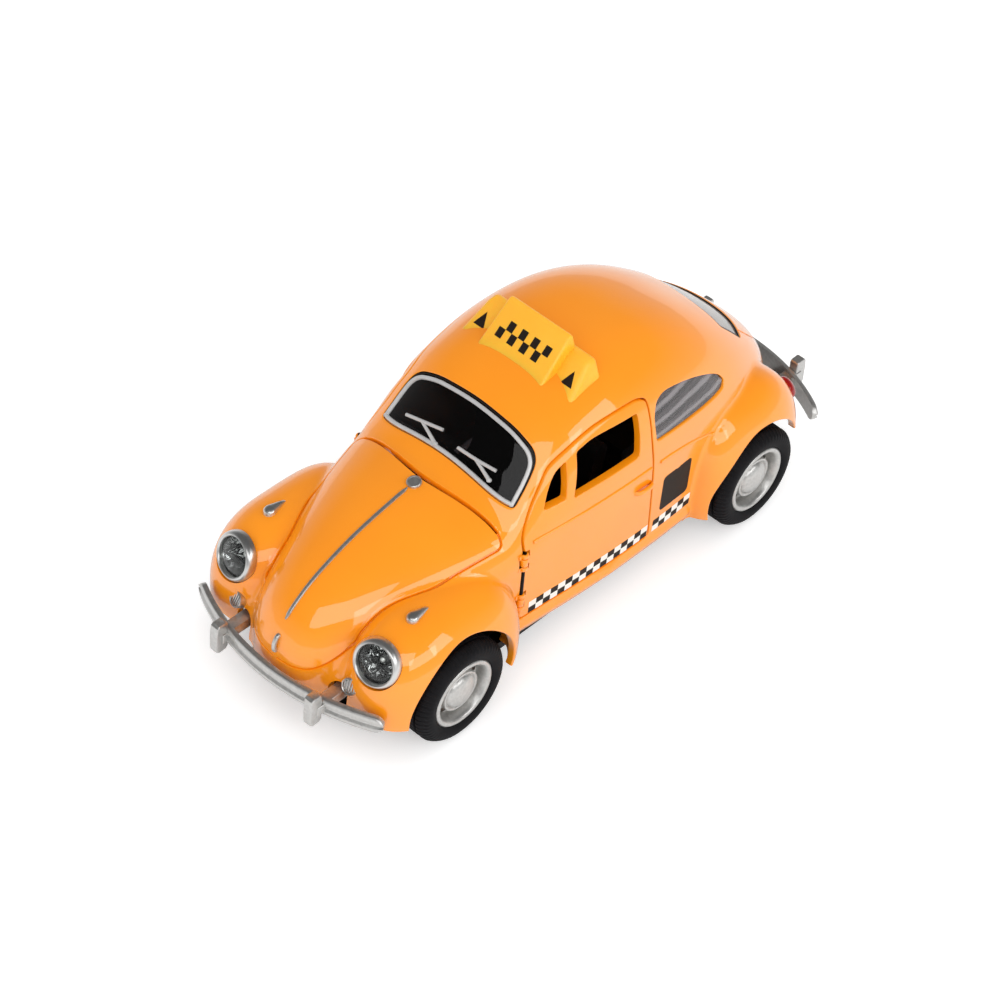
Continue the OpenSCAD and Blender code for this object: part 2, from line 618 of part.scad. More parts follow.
// Wheels: steel axle, bright hubs pressed on it, rubber tyres stretched over them
axle_sunk = 1.2;
axle_half = tyre_face_x - axle_sunk;
module axle(y) color(bright) translate([-axle_half, y, tyre_r]) rotate([0, 90, 0])
  cylinder(r = axle_r, h = 2*axle_half, $fn = fine);
module front_axle() axle(front_y);
module rear_axle() axle(rear_y);
hub_in = tyre_face_x - tyre_w + 0.4;
hub_out = tyre_face_x - 0.2;
hole_ring = 3.9;
hole_r = 0.55;
rim_lip = 0.9;
cap_r = 3.2;
boss_r = 2.2;
dish_d = 1.7;
web_t = 1;
module hub(y, s) color(bright) translate([0, y, tyre_r]) rotate([0, s*90, 0]) difference() {
  rotate_extrude($fn = fine) polygon([[0, hub_in], [boss_r, hub_in],
    [boss_r, hub_out - dish_d - web_t], [rim_r - rim_lip, hub_out - dish_d - web_t],
    [rim_r - rim_lip, hub_in], [rim_r, hub_in], [rim_r, hub_out - 0.2], [rim_r - 0.2, hub_out],
    [rim_r - 0.6, hub_out], [rim_r - rim_lip, hub_out - 0.5], [rim_r - 1.2, hub_out - dish_d + 0.2],
    [cap_r, hub_out - dish_d], [cap_r - 0.3, hub_out - 0.9], [cap_r - 1, hub_out - 0.4],
    [cap_r - 2, hub_out - 0.15], [0, hub_out - 0.1]]);
  translate([0, 0, hub_in - 1]) cylinder(r = axle_r, h = axle_half - hub_in + 1, $fn = fine);
  for (k = [0:hub_holes - 1]) rotate(360*k/hub_holes) translate([hole_ring, 0, hub_in])
    cylinder(r = hole_r, h = tyre_w, $fn = 20);
}
module hub_front_left() hub(front_y, 1);
module hub_front_right() hub(front_y, -1);
module hub_rear_left() hub(rear_y, 1);
module hub_rear_right() hub(rear_y, -1);
tread_d = 0.5;
rib_x = 1.1;
rib_gap = 0.5;
shoulder = 1.1;
bead = 0.8;
edge = 0.4;
module tyre(y, s) color(black) translate([0, y, tyre_r]) rotate([0, s*90, 0])
  translate([0, 0, tyre_face_x - tyre_w]) difference() {
    rotate_extrude($fn = fine) polygon([[rim_r, edge], [rim_r + bead, 0], [tyre_r - shoulder, 0],
      [tyre_r - 0.3, edge], [tyre_r, shoulder], [tyre_r, tyre_w - shoulder], [tyre_r - 0.3, tyre_w - edge],
      [tyre_r - shoulder, tyre_w], [rim_r + bead, tyre_w], [rim_r, tyre_w - edge]]);
    for (k = [-1, 1]) translate([0, 0, tyre_w/2 + k*rib_x - rib_gap/2]) difference() {
      cylinder(r = tyre_r + 1, h = rib_gap, $fn = fine);
      translate([0, 0, -rib_gap]) cylinder(r = tyre_r - tread_d, h = 3*rib_gap, $fn = fine);
    }
  }
module tyre_front_left() tyre(front_y, 1);
module tyre_front_right() tyre(front_y, -1);
module tyre_rear_left() tyre(rear_y, 1);
module tyre_rear_right() tyre(rear_y, -1);

// The wind-back motor: case, cover, three gears in mesh and a coiled spring in its drum
function pitch(t) = gear_mod*t/2;
pressure = 20;
tip_up = 0.8;
root_down = 1.15;
flank_thin = 0.88;
// one tooth flank point at radius r: half angle of the tooth there
function involute(r, rb) = r <= rb ? 0 : (sqrt(r*r/(rb*rb) - 1)*180/PI - acos(rb/r));
function half_tooth(t, r) = let (rp = pitch(t), rb = rp*cos(pressure))
  flank_thin*90/t + involute(rp, rb) - involute(max(r, rb), rb);
function polar(r, a) = [r*cos(a), r*sin(a)];
module gear_plan(t) {
  rp = pitch(t);
  rr = rp - root_down*gear_mod;
  rt = rp + tip_up*gear_mod;
  flank = [rr, (rr + rp)/2, rp, (rp + rt)/2, rt];
  polygon([for (k = [0:t - 1]) let (a = 360*k/t) each concat(
    [for (i = [0:4]) polar(flank[i], a - half_tooth(t, flank[i]))],
    [for (i = [4:-1:0]) polar(flank[i], a + half_tooth(t, flank[i]))])]);
}
rise_a = 20;
rise_b = 5;
reach_a = pitch(pinion_teeth) + pitch(idler_teeth) + gear_play;
reach_b = pitch(idler_teeth) + pitch(spring_teeth) + gear_play;
idler_at = [rear_y - reach_a*cos(rise_a), tyre_r + reach_a*sin(rise_a)];
spring_at = [idler_at[0] - reach_b*cos(rise_b), idler_at[1] + reach_b*sin(rise_b)];
// turn that brings a tooth, or a gap, to a direction seen from the +X side
dir_a = 180 - rise_a;
dir_b = 180 - rise_b;
pinion_turn = dir_a;
idler_turn = dir_a + 180 + 180/idler_teeth;
idler_off = dir_b - idler_turn;
idler_left = idler_off - 360/idler_teeth*round(idler_off*idler_teeth/360);
spring_turn = dir_b + 180 + 180/spring_teeth + idler_left*idler_teeth/spring_teeth;
pinion_x = -4.6;
pinion_w = 3;
idler_w = 2.6;
spring_w = 2.2;
drum_r = pitch(spring_teeth) - root_down*gear_mod - 0.15;
drum_w = 8.4;
drum_wall = 0.5;
sleeve_r = 1.25;
// places a plan drawn in (place, height) so that it runs along +X from x0
module lay(x0, c) translate([x0, c[0], c[1]]) rotate([90, 0, 90]) children();
gear_set = 0.2;
module drive_pinion() color(ivory) lay(pinion_x, [rear_y, tyre_r]) linear_extrude(pinion_w) difference() {
  rotate(pinion_turn) gear_plan(pinion_teeth);
  circle(axle_r, $fn = fine);
}
module idler_gear() color(ivory) lay(pinion_x + gear_set, idler_at) linear_extrude(idler_w) difference() {
  rotate(idler_turn) gear_plan(idler_teeth);
  circle(arbor_r + axle_clear, $fn = fine);
}
drum_floor = 0.4;
coil_set = 0.2;
module spring_gear() color(ivory) lay(pinion_x + 2*gear_set, spring_at) difference() {
  union() {
    linear_extrude(spring_w) rotate(spring_turn) gear_plan(spring_teeth);
    cylinder(r = drum_r, h = drum_w, $fn = fine);
  }
  translate([0, 0, spring_w + drum_floor]) difference() {
    cylinder(r = drum_r - drum_wall, h = drum_w, $fn = fine);
    cylinder(r = sleeve_r, h = drum_w, $fn = fine);
  }
  translate([0, 0, -1]) cylinder(r = arbor_r + axle_clear, h = drum_w + 2, $fn = fine);
}
coil_turns = 2.5;
coil_t = 0.22;
coil_steps = 60;
coil_in = sleeve_r + coil_t/2;
coil_out = drum_r - drum_wall - coil_t/2;
coil_low = spring_w + drum_floor + coil_set;
function coil(i, off) = let (f = i/coil_steps)
  polar(coil_in + (coil_out - coil_in)*f + off, 360*coil_turns*f);
module mainspring() color(bright) lay(pinion_x + 2*gear_set + coil_low, spring_at)
  linear_extrude(drum_w - coil_low - coil_set)
    polygon(concat([for (i = [0:coil_steps]) coil(i, -coil_t/2)],
      [for (i = [coil_steps:-1:0]) coil(i, coil_t/2)]));
flange_t = 0.8;
flange_y = 1.2;
floor_z = base_z + 0.2;
floor_t = 0.7;
axle_free = 0.35;
case_len = case_back - case_front;
// round ways through the case for the rear axle and the two fixed pins
module case_holes(x) {
  translate([x, rear_y, tyre_r]) rotate([0, 90, 0])
    cylinder(r = axle_r + axle_free, h = 4*case_wall, $fn = fine);
  for (c = [idler_at, spring_at]) translate([x, c[0], c[1]]) rotate([0, 90, 0])
    cylinder(r = arbor_r, h = 4*case_wall, $fn = fine);
}
module motor_case() color(red) difference() {
  union() {
    translate([case_x0, case_front, floor_z])
      cube([case_x1 - case_x0 - case_wall, case_len, case_top - floor_z]);
    translate([case_x0, case_front - flange_y, base_top])
      cube([case_x1 - case_x0 - case_wall, case_len + 2*flange_y, flange_t]);
  }
  translate([case_x0 + case_wall, case_front + case_wall, floor_z + floor_t])
    cube([case_x1 - case_x0, case_len - 2*case_wall, case_top - floor_z - floor_t - case_wall]);
  case_holes(case_x0 - case_wall);
}
module motor_cover() color(red) difference() {
  translate([case_x1 - case_wall, case_front, floor_z]) cube([case_wall, case_len, case_top - floor_z]);
  case_holes(case_x1 - 2*case_wall);
}
module arbor(c) color(bright) translate([case_x0, c[0], c[1]]) rotate([0, 90, 0])
  cylinder(r = arbor_r, h = case_x1 - case_x0, $fn = fine);
module idler_arbor() arbor(idler_at);
module spring_arbor() arbor(spring_at);

// Bumpers: curved blades with two over-riders and two brackets each
front_sag = 4.9;
front_half = 19.5*kx;
rear_sag = 5.6;
rear_half = 19*kx;
over_w = 1.7;
over_d = 2.4;
over_up = 3.2;
over_down = 2.6;
blade_in = 1.1;
bevel = 0.5;
bead_in = 0.25;
function bow(half, sag) = (half*half + sag*sag)/(2*sag);
// blade from above, its outer face at the front: half length, bow, middle height, bracket end
module bumper(half, sag, z, lug) {
  r = bow(half, sag);
  turn = asin(half/r);
  up = bumper_h/2;
  translate([0, blade_in - half_len + r, z]) rotate(-90 - turn) rotate_extrude(angle = 2*turn, $fn = 96)
    polygon([[r - bumper_t, -up], [r - bevel, -up], [r, bevel - up], [r, -bevel], [r - bead_in, 0],
      [r, bevel], [r, up - bevel], [r - bevel, up], [r - bumper_t, up]]);
  for (s = [-1, 1]) {
    translate([s*bracket_x - over_w/2, -half_len, z]) rotate([90, 0, 90]) linear_extrude(over_w)
      polygon([[0.7, -over_down], [over_d, bevel - over_down], [over_d, over_up - 0.9], [1.6, over_up],
        [0.8, over_up - 0.2], [0.2, over_up - 1], [0, 0], [0.2, 0.8 - over_down]]);
    translate([s*bracket_x - bracket_w/2, blade_in - half_len, z - bracket_h/2])
      cube([bracket_w, lug + half_len - blade_in, bracket_h]);
  }
}
module front_bumper() color(bright) bumper(front_half, front_sag, bracket_front_z, lug_front_y);
module rear_bumper() color(bright) rotate(180) bumper(rear_half, rear_sag, bracket_rear_z, -lug_rear_y);

// The roof sign: a hollow soft-edged moulding, a taller middle between two lower ends
sign_y = station(-2);
sign_back = 4.6;
// how far the ends stand behind the middle's front and ahead of its back
end_set = [2.4, 0.3];
sign_low = roof_at(sign_w/2, sign_y + sign_back - sign_d + end_set[0]) - 0.1;
sign_mid_w = 13.4;
end_drop = 2.6;
sign_soft = 0.7;
sign_wall = 0.8;
// how far the ends, the front and the back of the two blocks lean in
mid_lean = [0.5, 7.3, 1.9];
end_lean = [1.3, 4.9, 0.5];
// one soft block: width and front and back at its foot, lower and upper height, lean, set in by g
module sign_block(w, span, low, top, lean, g) hull() for (s = [-1, 1]) {
  for (y = [span[0] + g + sign_soft, span[1] - g - sign_soft])
    translate([s*(w/2 - g - sign_soft), y, low]) sphere(sign_soft, $fn = 12);
  for (y = [span[0] + lean[1] + g + sign_soft, span[1] - lean[2] - g - sign_soft])
    translate([s*(w/2 - lean[0] - g - sign_soft), y, top - g - sign_soft]) sphere(sign_soft, $fn = 12);
}
hollow_rise = 0.72;
// the sign set in by g, up to a share of its height
module sign_form(g, rise) translate([0, sign_y, 0]) {
  high = roof_at(0, sign_y) + sign_h - sign_low;
  low = sign_low - g;
  span = [sign_back - sign_d, sign_back];
  sign_block(sign_w, span + [end_set[0], -end_set[1]], low, sign_low + (high - end_drop)*rise, end_lean*rise, g);
  sign_block(sign_mid_w, span, low, sign_low + high*rise, mid_lean*rise, g);
}
module taxi_sign() color([1, 0.75, 0.23]) difference() {
  sign_form(0, 1);
  sign_form(sign_wall, hollow_rise);
  inside(-0.02);
}

// Headlamps: bright ring, dark dish with a bulb behind it and a domed lens in front
glass_r = 3.1;
dish_r = 3.3;
bulb_r = 0.5;
lens_fit = 0.02;
module ring_form() rotate_extrude($fn = fine) polygon([[glass_r, 0], [lamp_r, 0], [lamp_r, 0.7],
  [lamp_r - 0.25, 1.3], [lamp_r - 0.6, 1.6], [glass_r, 1.5]]);
module dish_form() rotate_extrude($fn = fine) polygon([[0, -2.6], [dish_r/2, -2.6], [dish_r, -0.9],
  [dish_r, 0], [dish_r - 0.5, 0], [2, -1.2], [1, -1.8], [bulb_r, -1.9], [bulb_r, -0.9],
  [bulb_r - 0.2, -0.6], [0, -0.5]]);
module lens_form() rotate_extrude($fn = fine) polygon([[0, 0.9], [glass_r - lens_fit, 0.4],
  [glass_r - lens_fit, 0.9], [2.4, 1.45], [1.6, 1.75], [0.8, 1.95], [0, 2]]);
module headlamp_ring_left() color(bright) lamp_place() ring_form();
module headlamp_ring_right() color(bright) mirror([1, 0, 0]) lamp_place() ring_form();
module headlamp_dish_left() color(smoke) lamp_place() dish_form();
module headlamp_dish_right() color(smoke) mirror([1, 0, 0]) lamp_place() dish_form();
module headlamp_lens_left() color(clear) lamp_place() lens_form();
module headlamp_lens_right() color(clear) mirror([1, 0, 0]) lamp_place() lens_form();

// Small lamps and trim
blinker_r = 1;
blinker_len = 3.2;
blinker_t = 0.8;
module blinker_plan(g) hull() {
  translate([0, -blinker_r]) circle(blinker_r + g, $fn = 24);
  translate([0, blinker_len - blinker_r]) circle(0.3*blinker_r + g, $fn = 16);
}
module blinker() blinker_place() translate([0, 0, -blinker_sunk]) {
  linear_extrude(blinker_t) blinker_plan(0);
  translate([0, 0, blinker_t]) hull() {
    linear_extrude(eps) blinker_plan(-0.05);
    translate([0, -0.7*blinker_r, 0.2]) sphere(0.6*blinker_r, $fn = 20);
  }
}
module blinker_left() color(bright) blinker();
module blinker_right() color(bright) mirror([1, 0, 0]) blinker();
horn_slots = 4;
horn_t = 0.8;
horn_pitch = 0.6;
module horn() horn_place() difference() {
  cylinder(r = horn_r, h = horn_t, $fn = fine);
  for (k = [0:horn_slots - 1]) translate([(k - horn_slots/2 + 0.25)*horn_pitch, -0.65*horn_r, horn_t/2])
    cube([horn_pitch/2, 1.3*horn_r, horn_t]);
}
module horn_grille_left() color(bright) horn();
module horn_grille_right() color(bright) mirror([1, 0, 0]) horn();
module tail() tail_place() rotate_extrude($fn = fine) polygon([[0, 0], [tail_r, 0], [tail_r, 1.6],
  [tail_r - 0.4, 2.1], [tail_r - 1, 2.4], [0, 2.5]]);
module tail_lamp_left() color([0.75, 0.05, 0.05]) tail();
module tail_lamp_right() color([0.75, 0.05, 0.05]) mirror([1, 0, 0]) tail();
strip_w = 0.75;
strip_h = 0.35;
badge_y = station(-25.4);
badge_r = 1.2;
trim_gap = 0.15;
strip_from = station(-51.3);
strip_to = badge_y - badge_r - trim_gap;
strip_rows = concat([strip_from], [for (r = rows) if (r[0] > strip_from && r[0] < strip_to) r[0]],
  [strip_to]);
module bonnet_strip() color(bright) for (i = [0:len(strip_rows) - 2]) hull()
  for (y = [strip_rows[i], strip_rows[i + 1]])
    translate([-strip_w/2, y, roof_at(0, y) + eps]) cube([strip_w, eps, strip_h]);
badge_t = 0.5;
badge_tilt = atan((roof_at(0, badge_y + 1) - roof_at(0, badge_y - 1))/2);
module bonnet_disc() color(bright) translate([0, badge_y, roof_at(0, badge_y)]) rotate([badge_tilt, 0, 0])
  cylinder(r = badge_r, h = badge_t, $fn = fine);
handle_y = station(-52.9);
handle_z = 15.8*kz;
handle_r = 0.4;
handle_h = 2.2;
module bonnet_handle() color(bright) translate([0, handle_y, handle_z]) rotate([28, 0, 0])
  cylinder(r = handle_r, h = handle_h, center = true, $fn = 24);

body_shell();
door_left();
door_right();
hinge_pin_left();
hinge_pin_right();
window_insert();
interior_tub();
steering_wheel();
chassis();
screw_front();
screw_rear();
front_axle();
rear_axle();
hub_front_left();
hub_front_right();
hub_rear_left();
hub_rear_right();
tyre_front_left();
tyre_front_right();
tyre_rear_left();
tyre_rear_right();
motor_case();
motor_cover();
drive_pinion();
idler_gear();
spring_gear();
mainspring();
idler_arbor();
spring_arbor();
front_bumper();
rear_bumper();
taxi_sign();
headlamp_ring_left();
headlamp_ring_right();
headlamp_dish_left();
headlamp_dish_right();
headlamp_lens_left();
headlamp_lens_right();
blinker_left();
blinker_right();
horn_grille_left();
horn_grille_right();
tail_lamp_left();
tail_lamp_right();
bonnet_strip();
bonnet_disc();
bonnet_handle();
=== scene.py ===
import math
import bmesh
import bpy
import numpy as np
from mathutils import Matrix, Vector


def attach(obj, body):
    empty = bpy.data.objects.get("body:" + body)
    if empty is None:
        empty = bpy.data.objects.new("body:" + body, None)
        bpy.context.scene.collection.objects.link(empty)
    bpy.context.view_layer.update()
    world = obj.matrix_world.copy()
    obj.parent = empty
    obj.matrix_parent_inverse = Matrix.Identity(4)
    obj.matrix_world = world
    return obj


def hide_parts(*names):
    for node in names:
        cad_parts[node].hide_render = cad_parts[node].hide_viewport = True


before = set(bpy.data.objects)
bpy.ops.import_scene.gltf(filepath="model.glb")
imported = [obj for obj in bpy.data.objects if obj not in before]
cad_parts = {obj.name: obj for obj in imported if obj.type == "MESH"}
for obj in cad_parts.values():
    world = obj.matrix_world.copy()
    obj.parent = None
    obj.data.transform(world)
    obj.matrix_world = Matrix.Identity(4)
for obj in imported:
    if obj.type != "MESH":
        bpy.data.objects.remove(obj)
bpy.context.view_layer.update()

# Cast body. One zinc casting under gloss enamel: cabin, bonnet and tail in one with four wings and
# two sill rails, screwed to the base from below. The whole outer skin is drawn first, as one smooth
# surface in millimetres, and the openings are then cut through it with rounded lips.
MM = 0.001
# place along the car, crown height, half width, waist height, roundness of the section
body_sections = np.array([
    [-53.2, 13.6, 0.6, 12.6, 2.0], [-52.9, 15.8, 3.4, 12.6, 2.0], [-51.8, 18.4, 5.8, 12.6, 2.05],
    [-49.5, 21.2, 8.0, 12.9, 2.1], [-45.0, 24.3, 10.6, 13.6, 2.15], [-38.0, 27.2, 13.3, 15.4, 2.2],
    [-30.0, 29.2, 15.6, 18.0, 2.25], [-24.0, 30.2, 16.8, 20.0, 2.25], [-20.8, 31.0, 17.2, 21.0, 2.25],
    [-17.0, 34.9, 17.5, 22.0, 2.3], [-13.0, 38.8, 17.8, 22.8, 2.45], [-8.0, 41.6, 18.2, 23.2, 2.65],
    [0.0, 43.2, 18.6, 23.4, 2.8], [8.0, 43.4, 18.7, 23.4, 2.8], [16.0, 42.3, 18.5, 23.0, 2.65],
    [24.0, 39.2, 17.9, 21.8, 2.5], [32.0, 34.1, 16.6, 19.5, 2.4], [40.0, 27.6, 13.8, 16.5, 2.3],
    [46.0, 21.9, 9.6, 14.0, 2.25], [50.0, 16.8, 5.6, 12.0, 2.1], [51.8, 12.6, 2.8, 11.0, 2.0],
    [52.3, 10.4, 0.6, 9.8, 2.0]])
WALL = 1.2
BLEND = 0.8
SILL_BLEND = 0.5
SILL_Z = 7.8
SILL_R = 1.5
NOSE_Y = -53.25
TAIL_Y = 52.35


def curve_through(rows, steps):
    """A smooth curve through every row, with this many points from each row to the next."""
    ends = np.vstack([2*rows[:1] - rows[1:2], rows, 2*rows[-1:] - rows[-2:-1]])
    t = np.linspace(0, 1, steps, endpoint=False)[:, None]
    spans = []
    for a, b, c, d in zip(ends, ends[1:], ends[2:], ends[3:]):
        spans.append((2*b + (c - a)*t + (2*a - 5*b + 4*c - d)*t**2 + (3*b - a - 3*c + d)*t**3)/2)
    return np.vstack(spans + [rows[-1:]])


hull_rows = curve_through(body_sections, 120)


def hull_form(x, y, z):
    """Below zero inside the cabin, bonnet and tail."""
    top, half, waist, roundness = [np.interp(y, hull_rows[:, 0], hull_rows[:, k]) for k in (1, 2, 3, 4)]
    rise = np.clip((z - waist)/(top - waist), 0, None)
    drop = np.clip((waist - z)/18, 0, None)
    across = np.abs(x)/(half*(1 - 0.02*drop**1.5))
    return (across**roundness + rise**roundness)**(1/roundness) - 1


def swelling(middle, across, along, rise, bends):
    """A form that is below zero inside a rounded swelling of the body, alike on both sides: its middle, its
    reach in and out, ahead and behind, down and up, and its roundness across, ahead and behind."""
    def form(x, y, z):
        parts = []
        for offset, reach in ((np.abs(x) - middle[0], across), (y - middle[1], along), (z - middle[2], rise)):
            parts.append(np.where(offset > 0, offset/reach[1], -offset/reach[0]))
        bend = np.where(y > middle[1], bends[2], bends[1])
        return (parts[0]**bends[0] + parts[2]**bends[0] + parts[1]**bend)**(1/bends[0]) - 1
    return form


ROUND = 2.4
BLUNT = 4.5
front_wing_form = swelling((13.9, -37, 10.5), (7.5, 9), (12.9, 16.6), (11, 12.9), (ROUND, ROUND, BLUNT))
rear_wing_form = swelling((13.9, 31, 10.5), (7.5, 9), (12.4, 13.8), (11, 14.4), (ROUND, BLUNT, ROUND))
# the apron joins the front wings below the nose of the bonnet
apron_form = swelling((0, -37, 7.7), (23, 23), (14.3, 9), (12.6, 12.6), (2.2, 2.2, 2.2))


def slope_of(form, x, y, z, h=0.02):
    """How a form changes per millimetre along each axis."""
    return np.stack([form(x + h, y, z) - form(x - h, y, z), form(x, y + h, z) - form(x, y - h, z),
                     form(x, y, z + h) - form(x, y, z - h)], axis=-1)/(2*h)


def distance_to(form, x, y, z):
    """Roughly how far a point is from a form's surface, below zero inside."""
    return form(x, y, z)/np.maximum(np.linalg.norm(slope_of(form, x, y, z), axis=-1), 1e-4)


def merged(a, b, k):
    """Two distances joined with a soft fillet."""
    h = np.clip(0.5 + 0.5*(b - a)/k, 0, 1)
    return b + (a - b)*h - k*h*(1 - h)


def sill_form(x, y, z):
    """Distance to the rounded rail below each door."""
    middle = np.interp(y, [-22, 0, 18], [15.75, 17.3, 17.05])
    past = np.clip(np.abs(y + 2) - 20, 0, None)
    return np.sqrt(((np.abs(x) - middle)/1.1)**2 + (z - SILL_Z)**2 + past**2) - SILL_R


def skin(x, y, z):
    """Distance to the outer skin of the whole body, below zero inside."""
    d = distance_to(hull_form, x, y, z)
    for form in (front_wing_form, apron_form, rear_wing_form):
        d = merged(d, distance_to(form, x, y, z), BLEND)
    d = merged(d, sill_form(x, y, z), SILL_BLEND)
    return np.maximum(d, np.maximum(NOSE_Y - y, y - TAIL_Y))


def skin_normals(points):
    """Unit normals of the skin at these points."""
    slope = slope_of(skin, *np.asarray(points, float).T, h=0.04)
    return slope/np.maximum(np.linalg.norm(slope, axis=1, keepdims=True), 1e-9)


def onto_skin(points, depth=0.0, rounds=4):
    """Points moved along the skin's slope until they lie this far outside it."""
    points = np.array(points, float)
    for _ in range(rounds):
        slope = slope_of(skin, *points.T, h=0.04)
        gap = skin(*points.T) - depth
        points -= (gap/np.maximum((slope**2).sum(1), 0.05))[:, None]*slope
    return points


def symmetric_net(field, settle, low, high, step):
    """Quads on the zero level of a field that is the same on both sides of the car."""
    low = (-step/2, low[1], low[2])
    grid = [np.arange(a, b + step, step) for a, b in zip(low, high)]
    rough = field(*np.meshgrid(*[g[::4] for g in grid], indexing="ij"))
    for k in range(3):
        rough = np.repeat(rough, 4, axis=k)
    value = rough[:len(grid[0]), :len(grid[1]), :len(grid[2])].copy()
    near = np.argwhere(np.abs(value) < 7*step)
    value[tuple(near.T)] = field(*[g[i] for g, i in zip(grid, near.T)])
    inside = value < 0
    size = np.array(value.shape)
    corners = np.array([(i, j, k) for i in (0, 1) for j in (0, 1) for k in (0, 1)])
    filled = np.zeros(size - 1, int)
    for c in corners:
        filled += inside[tuple(slice(o, n - 1 + o) for o, n in zip(c, size))]
    cells = np.argwhere((filled > 0) & (filled < 8))
    number = np.full(size - 1, -1)
    number[tuple(cells.T)] = np.arange(len(cells))
    total = np.zeros((len(cells), 3))
    count = np.zeros(len(cells))
    for a in corners:
        for b in corners:
            if (b - a).min() < 0 or (b - a).sum() != 1:
                continue
            va = value[tuple((cells + a).T)]
            vb = value[tuple((cells + b).T)]
            crossed = (va < 0) != (vb < 0)
            t = va[crossed]/(va[crossed] - vb[crossed])
            total[crossed] += a + t[:, None]*(b - a)
            count[crossed] += 1
    points = np.array(low) + step*(cells + total/count[:, None])
    points[cells[:, 0] == 0, 0] = 0
    points = settle(points)
    quads = []
    for axis in range(3):
        ahead = np.take(inside, range(1, size[axis]), axis)
        here = np.take(inside, range(size[axis] - 1), axis)
        edges = np.argwhere(here != ahead)
        u, v = [k for k in range(3) if k != axis]
        edges = edges[(edges[:, u] > 0) & (edges[:, v] > 0) & (edges[:, u] < size[u] - 1)
                      & (edges[:, v] < size[v] - 1)]
        around = []
        for du, dv in ((-1, -1), (0, -1), (0, 0), (-1, 0)):
            cell = edges.copy()
            cell[:, u] += du
            cell[:, v] += dv
            around.append(number[tuple(cell.T)])
        quad = np.stack(around, 1)
        turn = inside[tuple(edges.T)] ^ (axis == 1)
        quad[~turn] = quad[~turn][:, ::-1]
        quads.append(quad)
    quads = np.vstack(quads)
    mirror = np.arange(len(points)) + len(points)
    seam = cells[:, 0] == 0
    mirror[seam] = np.arange(len(points))[seam]
    both = np.vstack([points, points*[-1, 1, 1]])
    return both, np.vstack([quads, mirror[quads][:, ::-1]])


def shape_from(name, points, faces):
    """A new object from points in millimetres."""
    mesh = bpy.data.meshes.new(name)
    mesh.from_pydata(np.asarray(points, float).tolist(), [], [list(map(int, f)) for f in faces])
    bm = bmesh.new()
    bm.from_mesh(mesh)
    bmesh.ops.remove_doubles(bm, verts=bm.verts, dist=1e-5)
    loose = [v for v in bm.verts if not v.link_faces]
    bmesh.ops.delete(bm, geom=loose, context="VERTS")
    bmesh.ops.recalc_face_normals(bm, faces=bm.faces)
    bm.to_mesh(mesh)
    bm.free()
    obj = bpy.data.objects.new(name, mesh)
    bpy.context.collection.objects.link(obj)
    return obj


def carve(obj, tools, operation="DIFFERENCE"):
    """Cuts obj with each tool in turn, or joins or trims it, and removes the tools."""
    for tool in tools:
        modifier = obj.modifiers.new("carve", "BOOLEAN")
        modifier.operation = operation
        modifier.solver = "MANIFOLD"
        modifier.object = tool
        made = bpy.data.meshes.new_from_object(obj.evaluated_get(bpy.context.evaluated_depsgraph_get()))
        obj.modifiers.clear()
        obj.data = made
        bpy.data.objects.remove(tool)


LOOP_STEP = 0.3


def smooth_loop(points, blur=0.4):
    """A closed outline through the points, its sharp corners softened, evenly spaced."""
    points = np.array(points, float)
    before = points - np.roll(points, 1, 0)
    after = np.roll(points, -1, 0) - points
    turn = np.abs(np.angle(np.exp(1j*(np.arctan2(after[:, 1], after[:, 0])
                                      - np.arctan2(before[:, 1], before[:, 0])))))
    tangent = np.where((turn > 0.7)[:, None], 0, (before + after)/2)
    dense = []
    for i in range(len(points)):
        j = (i + 1) % len(points)
        span = points[j] - points[i]
        leave = tangent[i] if turn[i] <= 0.7 else span
        arrive = tangent[j] if turn[j] <= 0.7 else span
        scale = np.linalg.norm(span)
        leave = leave/max(np.linalg.norm(leave), 1e-9)*scale
        arrive = arrive/max(np.linalg.norm(arrive), 1e-9)*scale
        t = np.linspace(0, 1, 60, endpoint=False)[:, None]
        dense.append((2*t**3 - 3*t**2 + 1)*points[i] + (t**3 - 2*t**2 + t)*leave
                     + (3*t**2 - 2*t**3)*points[j] + (t**3 - t**2)*arrive)
    dense = np.vstack(dense)
    step = 0.05
    way = np.concatenate([[0], np.cumsum(np.linalg.norm(np.roll(dense, -1, 0) - dense, axis=1))])
    even = np.linspace(0, way[-1], int(way[-1]/step), endpoint=False)
    dense = np.vstack([dense, dense[:1]])
    loop = np.stack([np.interp(even, way, dense[:, k]) for k in (0, 1)], 1)
    wave = np.fft.fftfreq(len(loop), step)
    soft = np.exp(-2*(math.pi*wave*blur)**2)[:, None]
    loop = np.fft.ifft(np.fft.fft(loop, axis=0)*soft, axis=0).real
    return loop[::round(LOOP_STEP/step)]


def grown(loop, by):
    """An outline moved outwards by a distance."""
    along = np.roll(loop, -1, 0) - np.roll(loop, 1, 0)
    out = np.stack([along[:, 1], -along[:, 0]], 1)/np.linalg.norm(along, axis=1, keepdims=True)
    area = np.sum(loop[:, 0]*np.roll(loop[:, 1], -1) - loop[:, 1]*np.roll(loop[:, 0], -1))
    return loop + out*by*np.sign(area)


def skin_between(at, inside, outside, count, rounds=28):
    """Where lines from inside to outside meet the skin, if at gives the skin's distance along them."""
    inside, outside = np.full(count, inside), np.full(count, outside)
    for _ in range(rounds):
        middle = (inside + outside)/2
        within = at(middle) < 0
        inside, outside = np.where(within, middle, inside), np.where(within, outside, middle)
    return inside


def on_side(loop, depth):
    """Side outline (place, height) set on the left skin, this far outside it."""
    y, z = loop.T
    return np.stack([skin_between(lambda x: skin(x, y, z), 6.0, 26.0, len(y), 26) + depth, y, z], 1)


